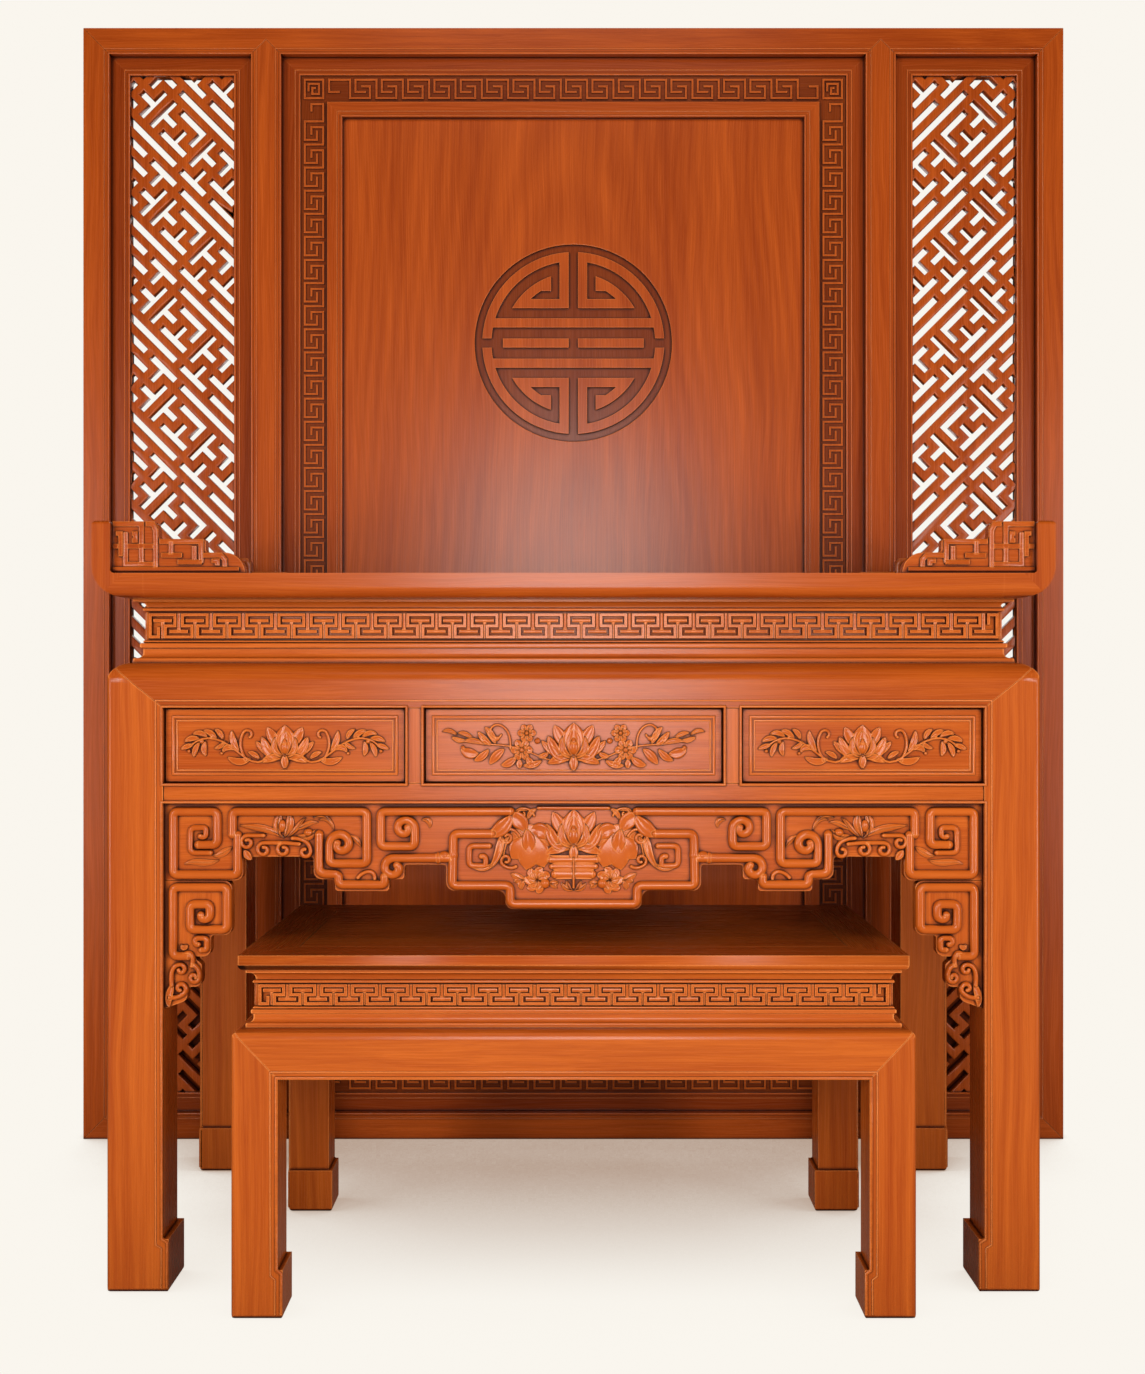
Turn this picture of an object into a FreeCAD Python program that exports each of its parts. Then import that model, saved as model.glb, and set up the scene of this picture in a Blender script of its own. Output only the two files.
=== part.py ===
"""Ancestral altar set in carved hardwood: a tall back screen, an altar table with three drawers,
and a lower offering table that slides out from under it.

Millimetres. X runs to the right, Y to the back, Z up. The origin is on the floor, in the middle of
the whole set. Each table is built about its own middle and then moved to its place.
"""
import FreeCAD
import Part
import math
import os

Vector = FreeCAD.Vector

# How the three pieces of furniture stand
OFFERING_REACH = 117.0         # offering table's legs in front of the altar's legs
OFFERING_HEADROOM = 61.0       # offering top up to the lowest point of the apron
OFFERING_SIDE_ROOM = 26.0      # offering leg to the spandrel beside it
SCREEN_SPACE = 115.0           # back edge of the altar top to the face of the screen

# Altar table: overall
ALTAR_LENGTH = 1650.0
ALTAR_DEPTH = 800.0
ALTAR_HEIGHT = 1270.0
ALTAR_LEG = 100.0
ALTAR_FOOT_HEIGHT = 95.0
ALTAR_FOOT_PROUD = 10.0
ALTAR_FRAME_ROUND = 36.0       # outer top edge of the leg frame

# Altar table: heights of the layers, from the top down
ALTAR_TOP_THICK = 42.0
ALTAR_NECK_HEIGHT = 16.0
ALTAR_FRIEZE_HEIGHT = 63.0
ALTAR_BASE_HEIGHT = 36.0
ALTAR_RAIL_HEIGHT = 80.0
DRAWER_OPENING_HEIGHT = 133.0
LOWER_RAIL_HEIGHT = 36.0

# Altar table: waist and rails
ALTAR_WAIST_INSET = 56.0       # face of the frieze behind the face of the legs
ALTAR_FRIEZE_THICK = 18.0
ALTAR_MOULDING_PROUD = 19.0    # mouldings in front of the frieze
LOWER_RAIL_THICK = 44.0
LOWER_RAIL_SETBACK = 2.0
CASE_PANEL_THICK = 14.0
CASE_PANEL_SETBACK = 16.0

# Altar table: top with upturned ends
ALTAR_TOP_OVERHANG = 20.0
ALTAR_TOP_MEMBER = 110.0       # width of the front and back members
ALTAR_TOP_END_SHELF = 90.0     # width of an end member where it lies flat
ALTAR_TOP_EDGE_ROUND = 19.0
END_RISE = 92.0
END_THICK = 32.0
END_ROUND = 55.0
END_LIP_ROUND = 7.0
BATTEN_WIDTH = 60.0
ALTAR_BATTEN_COUNT = 3

# Scroll brackets on the top, measured from the upturned end
BRACKET_THICK = 24.0
BRACKET_SETBACK = 14.0
BRACKET_FIRST_STEP = 82.0
BRACKET_SECOND_STEP = 165.0
BRACKET_LENGTH = 234.0
BRACKET_SECOND_HEIGHT = 61.0
BRACKET_THIRD_HEIGHT = 37.0

# Drawers
DRAWER_POST_WIDTH = 33.0
DRAWER_POST_CENTER = 281.0     # from the middle of the table
DRAWER_GAP = 2.0               # round each drawer front
DRAWER_RUNNING_GAP = 0.3       # drawer sides above their runners
DRAWER_FRONT_THICK = 22.0
DRAWER_FRONT_SETBACK = 10.0
DRAWER_SIDE_THICK = 14.0
DRAWER_SIDE_LAP = 8.0          # sides let into the front
DRAWER_BOTTOM_THICK = 8.0
DRAWER_BOTTOM_RAISE = 12.0
DRAWER_HEAD_ROOM = 18.0        # drawer sides below the rail above
DRAWER_BACK_ROOM = 60.0        # drawer back to the back panel
RUNNER_THICK = 20.0
RUNNER_LEDGE = 30.0
GUIDE_HEIGHT = 26.0
GUIDE_GAP = 2.0

# Apron and spandrels, measured down from the lower rail
APRON_THICK = 24.0
APRON_SETBACK = 12.0
APRON_CENTER_DROP = 188.0
APRON_CENTER_HALF = 121.0
APRON_SHOULDER_DROP = 155.0
APRON_SHOULDER_HALF = 226.0
APRON_INNER_DROP = 109.0
CLOUD_INNER_EDGE = 300.0       # cloud-shaped drop between the middle and the leg
CLOUD_OUTER_EDGE = 461.0
CLOUD_STEP_DROP = 135.0
CLOUD_LOWEST_DROP = 156.0
CLOUD_INNER_STEP = 27.0
CLOUD_OUTER_STEP = 38.0
APRON_OUTER_DROP = 95.0
APRON_CORNER_WIDTH = 139.0     # scroll block beside the leg
APRON_CORNER_DROP = 137.0
SPANDREL_WIDTH = 119.0
SPANDREL_BLOCK_DROP = 234.0
SPANDREL_HOOK_WIDTH = 82.0
SPANDREL_HOOK_DROP = 272.0
SPANDREL_NECK_WIDTH = 50.0
SPANDREL_PENDANT_WIDTH = 66.0
SPANDREL_PENDANT_DROP = 326.0
SPANDREL_TIP_WIDTH = 40.0
SPANDREL_TIP_DROP = 350.0
SPANDREL_DROP = 364.0
SIDE_APRON_MIDDLE_HALF = 70.0
SCROLL_ROUND = 14.0            # rounded corners of the carved outlines
SCROLL_SMALL_ROUND = 6.0

# Offering table
OFFERING_DEPTH = 630.0
OFFERING_LEG = 80.0
OFFERING_FOOT_HEIGHT = 84.0
OFFERING_FOOT_PROUD = 8.0
OFFERING_FRAME_ROUND = 18.0
OFFERING_TOP_THICK = 27.0
OFFERING_TOP_INSET = 10.0      # edge of the top behind the face of the legs
OFFERING_TOP_MEMBER = 90.0
OFFERING_TOP_EDGE_ROUND = 10.0
OFFERING_NECK_HEIGHT = 20.0
OFFERING_FRIEZE_HEIGHT = 49.0
OFFERING_BASE_HEIGHT = 29.0
OFFERING_RAIL_HEIGHT = 84.0
OFFERING_WAIST_INSET = 36.0
OFFERING_FRIEZE_THICK = 16.0
OFFERING_MOULDING_PROUD = 15.0
OFFERING_BATTEN_COUNT = 2

# Joinery shared by both tables
TENON_THICK = 18.0
TENON_SETBACK = 30.0           # outer face of a leg to the tenon
TENON_SHOULDER = 8.0           # rail edge to the tenon
TENON_ROOM = 5.0               # between two tenons that meet in a leg
TOP_PANEL_THICK = 14.0
TONGUE_LENGTH = 9.0
TONGUE_THICK = 8.0
LEG_EDGE_ROUND = 8.0
FOOT_EDGE_ROUND = 10.0
MOULDING_FILLET = 5.0          # flat band at the edge of a moulding
MOULDING_FLAT = 1.0            # straight ends of a cove

# Screen
SCREEN_WIDTH = 2320.0
SCREEN_HEIGHT = 2630.0
SCREEN_THICK = 60.0
SCREEN_MEMBER = 62.0
MULLION_WIDTH = 71.0
MULLION_CENTER = 727.5
MULLION_POINT = 35.0
LATTICE_FRAME_WIDTH = 44.0
LATTICE_FRAME_SETBACK = 18.0
LATTICE_FRAME_THICK = 30.0
LATTICE_SETBACK = 25.0
LATTICE_THICK = 16.0
LATTICE_PITCH = 33.0
LATTICE_SLOT = 14.5
BAND_WIDTH = 43.0
BAND_SETBACK = 20.0
BAND_THICK = 30.0
BORDER_WIDTH = 64.0
BORDER_SETBACK = 22.0
BORDER_THICK = 26.0
PANEL_MOULDING_WIDTH = 36.0
PANEL_MOULDING_SETBACK = 14.0
PANEL_MOULDING_THICK = 34.0
PANEL_SETBACK = 26.0
PANEL_THICK = 16.0
SCREEN_BATTEN_HEIGHT = 90.0
SCREEN_BATTEN_COUNT = 3

# Round fret medallion in the screen panel
MEDALLION_RADIUS = 235.0
MEDALLION_HEIGHT = 575.0       # middle of the medallion above the middle of the screen
MEDALLION_SINK = 11.0          # depth of its pocket
MEDALLION_GROUND = 4.0
FRET_STROKE = 22.0
FRET_RING_RADIUS = 217.0       # outer edge of the ring
FRET_INNER_RADIUS = 168.0      # outer edge of the inner arcs
FRET_SLIT = 22.0               # gap along the upright middle line
FRET_SHELF = 83.0              # lower edge of the shelf bars above the middle
FRET_BAR = 37.0                # lower edge of the long bars above the middle
FRET_HOOK = 53.0               # inner edge of the hook from the middle line
FRET_HOOK_LOW = 124.0

# One repeat of the lattice slots on a grid turned by 45 degrees: cells with the same letter are one
# slot, and each next repeat of the rows is moved along by half a row.
LATTICE_CELLS = (
    "AAAAAAAPPP",
    "CCBBBBBBBC",
    "CRRRSTUUUV",
    "VQRSSTTULV",
    "QQQPSTLLLV",
)
NEARLY_ZERO = 1e-6

# Heights of the altar's layers
altar_slab_low = ALTAR_HEIGHT - ALTAR_TOP_THICK
altar_neck_low = altar_slab_low - ALTAR_NECK_HEIGHT
altar_frieze_low = altar_neck_low - ALTAR_FRIEZE_HEIGHT
altar_rail_high = altar_frieze_low - ALTAR_BASE_HEIGHT
altar_rail_low = altar_rail_high - ALTAR_RAIL_HEIGHT
drawer_floor = altar_rail_low - DRAWER_OPENING_HEIGHT
apron_high = drawer_floor - LOWER_RAIL_HEIGHT
altar_inner_x = ALTAR_LENGTH / 2 - ALTAR_LEG
altar_inner_y = ALTAR_DEPTH / 2 - ALTAR_LEG

# Sizes of the offering table that follow from the altar
offering_height = apron_high - APRON_CENTER_DROP - OFFERING_HEADROOM
offering_length = 2 * (altar_inner_x - SPANDREL_WIDTH - OFFERING_SIDE_ROOM)

# Places along Y
behind_altar_front = ALTAR_DEPTH + ALTAR_TOP_OVERHANG + SCREEN_SPACE + SCREEN_THICK
altar_front = (OFFERING_REACH - behind_altar_front) / 2
altar_middle = altar_front + ALTAR_DEPTH / 2
offering_middle = altar_front - OFFERING_REACH + OFFERING_DEPTH / 2
screen_front = altar_front + behind_altar_front - SCREEN_THICK

# Height of the medallion above the floor
medallion_middle = SCREEN_HEIGHT / 2 + MEDALLION_HEIGHT

nodes = {}


def outline_face(corners, place):
    """A flat face with corners (u, v) or (u, v, radius); place turns (u, v) into a point in space."""
    count = len(corners)
    points = [Vector(corner[0], corner[1], 0) for corner in corners]
    turns = []
    for index, corner in enumerate(corners):
        here = points[index]
        if len(corner) == 2:
            turns.append((here, None, here))
            continue
        radius = corner[2]
        to_before = (points[index - 1] - here).normalize()
        to_after = (points[(index + 1) % count] - here).normalize()
        half_angle = to_before.getAngle(to_after) / 2
        inward = (to_before + to_after).normalize()
        reach = radius / math.tan(half_angle)
        middle = here + inward * (radius / math.sin(half_angle) - radius)
        turns.append((here + to_before * reach, middle, here + to_after * reach))
    edges = []
    for index, (start, middle, finish) in enumerate(turns):
        last = turns[index - 1][2]
        if (start - last).Length > NEARLY_ZERO:
            edges.append(Part.LineSegment(place(last), place(start)).toShape())
        if middle is not None:
            edges.append(Part.Arc(place(start), place(middle), place(finish)).toShape())
    return Part.Face(Part.Wire(edges))


def along_x(corners, start, finish):
    """An outline of (y, z) corners, extruded along X."""
    face = outline_face(corners, lambda point: Vector(start, point.x, point.y))
    return face.extrude(Vector(finish - start, 0, 0))


def along_y(corners, start, finish):
    """An outline of (x, z) corners, extruded along Y."""
    face = outline_face(corners, lambda point: Vector(point.x, start, point.y))
    return face.extrude(Vector(0, finish - start, 0))


def along_z(corners, start, finish):
    """An outline of (x, y) corners, extruded along Z."""
    face = outline_face(corners, lambda point: Vector(point.x, point.y, start))
    return face.extrude(Vector(0, 0, finish - start))


def box(x_range, y_range, z_range):
    low = [min(x_range), min(y_range), min(z_range)]
    high = [max(x_range), max(y_range), max(z_range)]
    return Part.makeBox(high[0] - low[0], high[1] - low[1], high[2] - low[2], Vector(*low))


def mirror_x(shape):
    return shape.mirror(Vector(0, 0, 0), Vector(1, 0, 0))


def mirror_y(shape):
    return shape.mirror(Vector(0, 0, 0), Vector(0, 1, 0))


def moved(shape, offset):
    copy = shape.copy()
    copy.translate(offset)
    return copy


def joined(*shapes):
    return shapes[0].fuse(list(shapes[1:])).removeSplitter()


def mirrored_outline(half):
    """A whole outline from its right half, listed from the middle line outwards."""
    return [(-corner[0],) + corner[1:] for corner in reversed(half)] + list(half)


def mitred_ring(length, depth, section):
    """Four bars round a rectangle: front, right, back and left, mitred at the corners.

    The section's corners are (inset, height) or (inset, height, radius).
    """
    half_length = length / 2
    half_depth = depth / 2
    reach = max(corner[0] for corner in section)
    low = min(corner[1] for corner in section)
    high = max(corner[1] for corner in section)
    front_bar = along_x([(corner[0] - half_depth,) + corner[1:] for corner in section],
                        -half_length, half_length)
    front_place = [(-half_length, -half_depth), (half_length, -half_depth),
                   (half_length - reach, reach - half_depth), (reach - half_length, reach - half_depth)]
    front = front_bar.common(along_z(front_place, low, high))
    left_bar = along_y([(corner[0] - half_length,) + corner[1:] for corner in section],
                       -half_depth, half_depth)
    left_place = [(-half_length, -half_depth), (-half_length, half_depth),
                  (reach - half_length, half_depth - reach), (reach - half_length, reach - half_depth)]
    left = left_bar.common(along_z(left_place, low, high))
    return [front, mirror_x(left), mirror_y(front), left]


def flat_section(width, low, high):
    return [(0, low), (width, low), (width, high), (0, high)]


def leg_frame(length, depth, leg, rail_low, rail_high, rail_thick, frame_round, foot_height, foot_proud):
    """Four legs and four rails that meet in three-way mitres, with hidden tenons."""
    half_x = length / 2
    half_y = depth / 2
    inner_x = half_x - leg
    inner_y = half_y - leg
    envelope = along_x([(-half_y, 0, FOOT_EDGE_ROUND), (half_y, 0, FOOT_EDGE_ROUND),
                        (half_y, rail_high, frame_round), (-half_y, rail_high, frame_round)],
                       -half_x, half_x)
    envelope = envelope.common(along_y([(-half_x, 0, FOOT_EDGE_ROUND), (half_x, 0, FOOT_EDGE_ROUND),
                                        (half_x, rail_high, frame_round),
                                        (-half_x, rail_high, frame_round)], -half_y, half_y))
    envelope = envelope.common(along_z([(-half_x, -half_y, LEG_EDGE_ROUND),
                                        (half_x, -half_y, LEG_EDGE_ROUND),
                                        (half_x, half_y, LEG_EDGE_ROUND),
                                        (-half_x, half_y, LEG_EDGE_ROUND)], 0, rail_high))
    tenon_length = leg - TENON_SETBACK - TENON_THICK - TENON_ROOM
    tenon_heights = (rail_low + TENON_SHOULDER, rail_low + (rail_high - rail_low) / 2)

    front = along_y([(-inner_x, rail_low), (inner_x, rail_low), (half_x, rail_high), (-half_x, rail_high)],
                    -half_y, rail_thick - half_y)
    front = front.common(along_z([(-half_x, -half_y), (half_x, -half_y),
                                  (half_x - rail_thick, rail_thick - half_y),
                                  (rail_thick - half_x, rail_thick - half_y)], rail_low, rail_high))
    front = front.common(envelope)
    front_tenon = box((-inner_x - tenon_length, inner_x + tenon_length),
                      (TENON_SETBACK - half_y, TENON_SETBACK + TENON_THICK - half_y), tenon_heights)
    front = joined(front, front_tenon)

    left = along_x([(-inner_y, rail_low), (inner_y, rail_low), (half_y, rail_high), (-half_y, rail_high)],
                   -half_x, rail_thick - half_x)
    left = left.common(along_z([(-half_x, -half_y), (-half_x, half_y),
                                (rail_thick - half_x, half_y - rail_thick),
                                (rail_thick - half_x, rail_thick - half_y)], rail_low, rail_high))
    left = left.common(envelope)
    left_tenon = box((TENON_SETBACK - half_x, TENON_SETBACK + TENON_THICK - half_x),
                     (-inner_y - tenon_length, inner_y + tenon_length), tenon_heights)
    left = joined(left, left_tenon)

    column = along_y([(-half_x, 0), (-inner_x, 0), (-inner_x, rail_low), (-half_x, rail_high)],
                     -half_y, -inner_y)
    column = column.common(along_x([(-half_y, 0), (-inner_y, 0), (-inner_y, rail_low),
                                    (-half_y, rail_high)], -half_x, -inner_x))
    foot = box((-half_x, foot_proud - inner_x), (-half_y, foot_proud - inner_y), (0, foot_height))
    front_left = joined(column, foot).common(envelope)
    front_left = front_left.cut([front, left])

    legs = {
        "front_left": front_left,
        "front_right": mirror_x(front_left),
        "back_left": mirror_y(front_left),
        "back_right": mirror_x(mirror_y(front_left)),
    }
    rails = {"front": front, "back": mirror_y(front), "left": left, "right": mirror_x(left)}
    return legs, rails


def waist(length, depth, inset, frieze_thick, proud, levels):
    """Neck moulding, frieze and base moulding between the four levels, listed from the top down."""
    slab_low, neck_low, frieze_low, base_low = levels
    back = proud + frieze_thick
    frieze_length = length - 2 * inset
    frieze_depth = depth - 2 * inset
    neck_round = min(proud, slab_low - MOULDING_FILLET - neck_low) - MOULDING_FLAT
    neck = mitred_ring(frieze_length + 2 * proud, frieze_depth + 2 * proud, [
        (0, slab_low), (0, slab_low - MOULDING_FILLET),
        (proud, slab_low - MOULDING_FILLET, neck_round),
        (proud, neck_low), (back, neck_low), (back, slab_low)])
    frieze = mitred_ring(frieze_length, frieze_depth, flat_section(frieze_thick, frieze_low, neck_low))
    bead = (frieze_low - base_low) / 4
    base = mitred_ring(frieze_length + 2 * proud, frieze_depth + 2 * proud, [
        (proud, frieze_low), (proud / 2, frieze_low, bead / 3), (proud / 2, frieze_low - bead, bead / 3),
        (proud * 3 / 4, frieze_low - bead), (proud * 3 / 4, base_low + bead, bead),
        (0, base_low + bead, bead / 3), (0, base_low), (back, base_low), (back, frieze_low)])
    return neck, frieze, base


def batten_places(count, length):
    """Middles of evenly spaced battens along a length."""
    return [length * ((index + 0.5) / count - 0.5) for index in range(count)]


def tongued_panel(half_x, half_y, low, high):
    """A floating panel, with a tongue all round its edge."""
    tongue_low = low + (high - low - TONGUE_THICK) / 2
    plate = box((-half_x, half_x), (-half_y, half_y), (low, high))
    tongue = box((-half_x - TONGUE_LENGTH, half_x + TONGUE_LENGTH),
                 (-half_y - TONGUE_LENGTH, half_y + TONGUE_LENGTH),
                 (tongue_low, tongue_low + TONGUE_THICK))
    return joined(plate, tongue)


def altar_top():
    """Frame with upturned ends, floating panel and battens."""
    half_x = ALTAR_LENGTH / 2 + ALTAR_TOP_OVERHANG
    half_y = ALTAR_DEPTH / 2 + ALTAR_TOP_OVERHANG
    shelf_x = half_x - ALTAR_TOP_END_SHELF
    panel_y = half_y - ALTAR_TOP_MEMBER
    panel_low = ALTAR_HEIGHT - TOP_PANEL_THICK
    rise = ALTAR_HEIGHT + END_RISE

    panel = tongued_panel(shelf_x, panel_y, panel_low, ALTAR_HEIGHT)
    edge = [(-half_y, altar_slab_low, ALTAR_TOP_EDGE_ROUND), (-panel_y, altar_slab_low),
            (-panel_y, ALTAR_HEIGHT), (-half_y, ALTAR_HEIGHT)]
    front = along_x(edge, -shelf_x, shelf_x)
    tenon_high = panel_low - TONGUE_THICK
    tenon = box((-shelf_x - TONGUE_LENGTH, shelf_x + TONGUE_LENGTH),
                (ALTAR_TOP_EDGE_ROUND - half_y, -panel_y - TONGUE_LENGTH),
                (tenon_high - TONGUE_THICK, tenon_high))
    front = joined(front, tenon).cut(panel)
    back = mirror_y(front)

    end = along_y([(-half_x, rise, END_LIP_ROUND), (END_THICK - half_x, rise, END_LIP_ROUND),
                   (END_THICK - half_x, ALTAR_HEIGHT, END_LIP_ROUND), (-shelf_x, ALTAR_HEIGHT),
                   (-shelf_x, altar_slab_low), (-half_x, altar_slab_low, END_ROUND)], -half_y, half_y)
    end = end.common(along_x([(-half_y, altar_slab_low, ALTAR_TOP_EDGE_ROUND),
                              (half_y, altar_slab_low, ALTAR_TOP_EDGE_ROUND),
                              (half_y, rise, END_LIP_ROUND), (-half_y, rise, END_LIP_ROUND)],
                             -half_x, -shelf_x))
    end = end.cut([panel, front, back])

    brackets = scroll_brackets(half_x, half_y)
    front = front.cut([brackets["front_left"], brackets["front_right"]])
    back = back.cut([brackets["back_left"], brackets["back_right"]])
    left_end = end.cut([brackets["front_left"], brackets["back_left"]])

    battens = [box((middle - BATTEN_WIDTH / 2, middle + BATTEN_WIDTH / 2), (-panel_y, panel_y),
                   (altar_slab_low, panel_low))
               for middle in batten_places(ALTAR_BATTEN_COUNT, 2 * shelf_x)]
    return {
        "altar_top_front": [front],
        "altar_top_back": [back],
        "altar_top_left_end": [left_end],
        "altar_top_right_end": [mirror_x(left_end)],
        "altar_top_panel": [panel],
        "altar_top_battens": battens,
        "scroll_bracket_front_left": [brackets["front_left"]],
        "scroll_bracket_front_right": [brackets["front_right"]],
        "scroll_brackets_back": [brackets["back_left"], brackets["back_right"]],
    }


def scroll_brackets(half_x, half_y):
    """Stepped boards that stand on the top against the upturned ends, with a tongue underneath."""
    start = END_THICK - half_x
    first = start + BRACKET_FIRST_STEP
    second = start + BRACKET_SECOND_STEP
    far = start + BRACKET_LENGTH
    high = ALTAR_HEIGHT + END_RISE
    second_high = ALTAR_HEIGHT + BRACKET_SECOND_HEIGHT
    third_high = ALTAR_HEIGHT + BRACKET_THIRD_HEIGHT
    front = BRACKET_SETBACK - half_y
    board = along_y([(start, ALTAR_HEIGHT + END_LIP_ROUND), (start, high), (first, high, SCROLL_ROUND),
                     (first, second_high, SCROLL_SMALL_ROUND), (second, second_high, SCROLL_SMALL_ROUND),
                     (second, third_high, SCROLL_SMALL_ROUND),
                     (far, third_high, BRACKET_THIRD_HEIGHT - MOULDING_FLAT), (far, ALTAR_HEIGHT),
                     (start + END_LIP_ROUND, ALTAR_HEIGHT)], front, front + BRACKET_THICK)
    tongue_front = front + (BRACKET_THICK - TONGUE_THICK) / 2
    tongue = box((start + END_THICK, second), (tongue_front, tongue_front + TONGUE_THICK),
                 (ALTAR_HEIGHT - TONGUE_LENGTH, ALTAR_HEIGHT))
    bracket = joined(board, tongue)
    return {
        "front_left": bracket,
        "front_right": mirror_x(bracket),
        "back_left": mirror_y(bracket),
        "back_right": mirror_x(mirror_y(bracket)),
    }


def lower_rail(along, half_span, outer):
    """A straight rail under the drawer case, tenoned into the legs; outer is its outer face."""
    tenon_length = ALTAR_LEG - TENON_SETBACK - TENON_THICK - TENON_ROOM
    heights = (apron_high, drawer_floor)
    tenon_heights = (apron_high + TENON_SHOULDER, drawer_floor - TENON_SHOULDER)
    thick = (outer, outer + LOWER_RAIL_THICK)
    tenon_start = outer - LOWER_RAIL_SETBACK + TENON_SETBACK
    tenon_thick = (tenon_start, min(tenon_start + TENON_THICK, thick[1]))
    span = (-half_span, half_span)
    tenon_span = (-half_span - tenon_length, half_span + tenon_length)
    if along == "x":
        return joined(box(span, thick, heights), box(tenon_span, tenon_thick, tenon_heights))
    return joined(box(thick, span, heights), box(tenon_thick, tenon_span, tenon_heights))


def case_panels():
    """Side and back panels of the drawer case, with their edges in grooves."""
    heights = (drawer_floor - TONGUE_LENGTH, altar_rail_low + TONGUE_LENGTH)
    side_x = CASE_PANEL_SETBACK - ALTAR_LENGTH / 2
    left = box((side_x, side_x + CASE_PANEL_THICK),
               (-altar_inner_y - TONGUE_LENGTH, altar_inner_y + TONGUE_LENGTH), heights)
    back_y = ALTAR_DEPTH / 2 - CASE_PANEL_SETBACK
    back = box((-altar_inner_x - TONGUE_LENGTH, altar_inner_x + TONGUE_LENGTH),
               (back_y - CASE_PANEL_THICK, back_y), heights)
    return left, mirror_x(left), back


def drawer_posts():
    """Two posts between the drawers, tongued into the rails above and below."""
    front = LOWER_RAIL_SETBACK - ALTAR_DEPTH / 2
    depth = (front, front + LOWER_RAIL_THICK)
    tongue_start = front + (LOWER_RAIL_THICK - TONGUE_THICK) / 2
    half_width = DRAWER_POST_WIDTH / 2
    post = box((DRAWER_POST_CENTER - half_width, DRAWER_POST_CENTER + half_width), depth,
               (drawer_floor, altar_rail_low))
    tongue_half = half_width - TONGUE_THICK / 2
    tongue = box((DRAWER_POST_CENTER - tongue_half, DRAWER_POST_CENTER + tongue_half),
                 (tongue_start, tongue_start + TONGUE_THICK),
                 (drawer_floor - TONGUE_LENGTH, altar_rail_low + TONGUE_LENGTH))
    right = joined(post, tongue)
    return mirror_x(right), right


def drawer_runners():
    """Runners with guides: one beside each end of the case and one behind each post."""
    front = LOWER_RAIL_SETBACK + LOWER_RAIL_THICK - ALTAR_DEPTH / 2
    heights = (drawer_floor - RUNNER_THICK, drawer_floor)
    guide_heights = (drawer_floor, drawer_floor + GUIDE_HEIGHT)
    half_post = DRAWER_POST_WIDTH / 2
    middle_ledge = box((DRAWER_POST_CENTER - half_post - RUNNER_LEDGE,
                        DRAWER_POST_CENTER + half_post + RUNNER_LEDGE), (front, -front), heights)
    half_guide = half_post - GUIDE_GAP
    middle_guide = box((DRAWER_POST_CENTER - half_guide, DRAWER_POST_CENTER + half_guide),
                       (front, -front), guide_heights)
    middle = joined(middle_ledge, middle_guide)
    outer_x = ALTAR_LENGTH / 2 - LOWER_RAIL_SETBACK - LOWER_RAIL_THICK
    side_ledge = box((altar_inner_x - RUNNER_LEDGE, outer_x), (-altar_inner_y, altar_inner_y), heights)
    side_guide = box((altar_inner_x + GUIDE_GAP, outer_x), (-altar_inner_y, altar_inner_y), guide_heights)
    side = joined(side_ledge, side_guide)
    return [mirror_x(side), mirror_x(middle), middle, side]


def drawer(left, right):
    """A drawer front and its box, between two faces of the case."""
    front_y = DRAWER_FRONT_SETBACK - ALTAR_DEPTH / 2
    front_back = front_y + DRAWER_FRONT_THICK
    back_y = ALTAR_DEPTH / 2 - CASE_PANEL_SETBACK - CASE_PANEL_THICK - DRAWER_BACK_ROOM
    low = drawer_floor + DRAWER_RUNNING_GAP
    high = altar_rail_low - DRAWER_HEAD_ROOM
    side_left = left + DRAWER_GAP
    side_right = right - DRAWER_GAP
    inner_left = side_left + DRAWER_SIDE_THICK
    inner_right = side_right - DRAWER_SIDE_THICK
    side_y = (front_back - DRAWER_SIDE_LAP, back_y)
    bottom_low = low + DRAWER_BOTTOM_RAISE
    groove = DRAWER_SIDE_THICK / 2

    front = box((side_left, side_right), (front_y, front_back),
                (drawer_floor + DRAWER_GAP, altar_rail_low - DRAWER_GAP))
    sides = [box((side_left, inner_left), side_y, (low, high)),
             box((inner_right, side_right), side_y, (low, high))]
    back = box((inner_left, inner_right), (back_y - DRAWER_SIDE_THICK, back_y), (low, high))
    bottom = box((inner_left - groove, inner_right + groove),
                 (front_back - DRAWER_SIDE_LAP, back_y - groove),
                 (bottom_low, bottom_low + DRAWER_BOTTOM_THICK))
    front = front.cut(sides + [bottom])
    sides = [side.cut(bottom) for side in sides]
    back = back.cut(bottom)
    return front, sides + [back, bottom]


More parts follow.
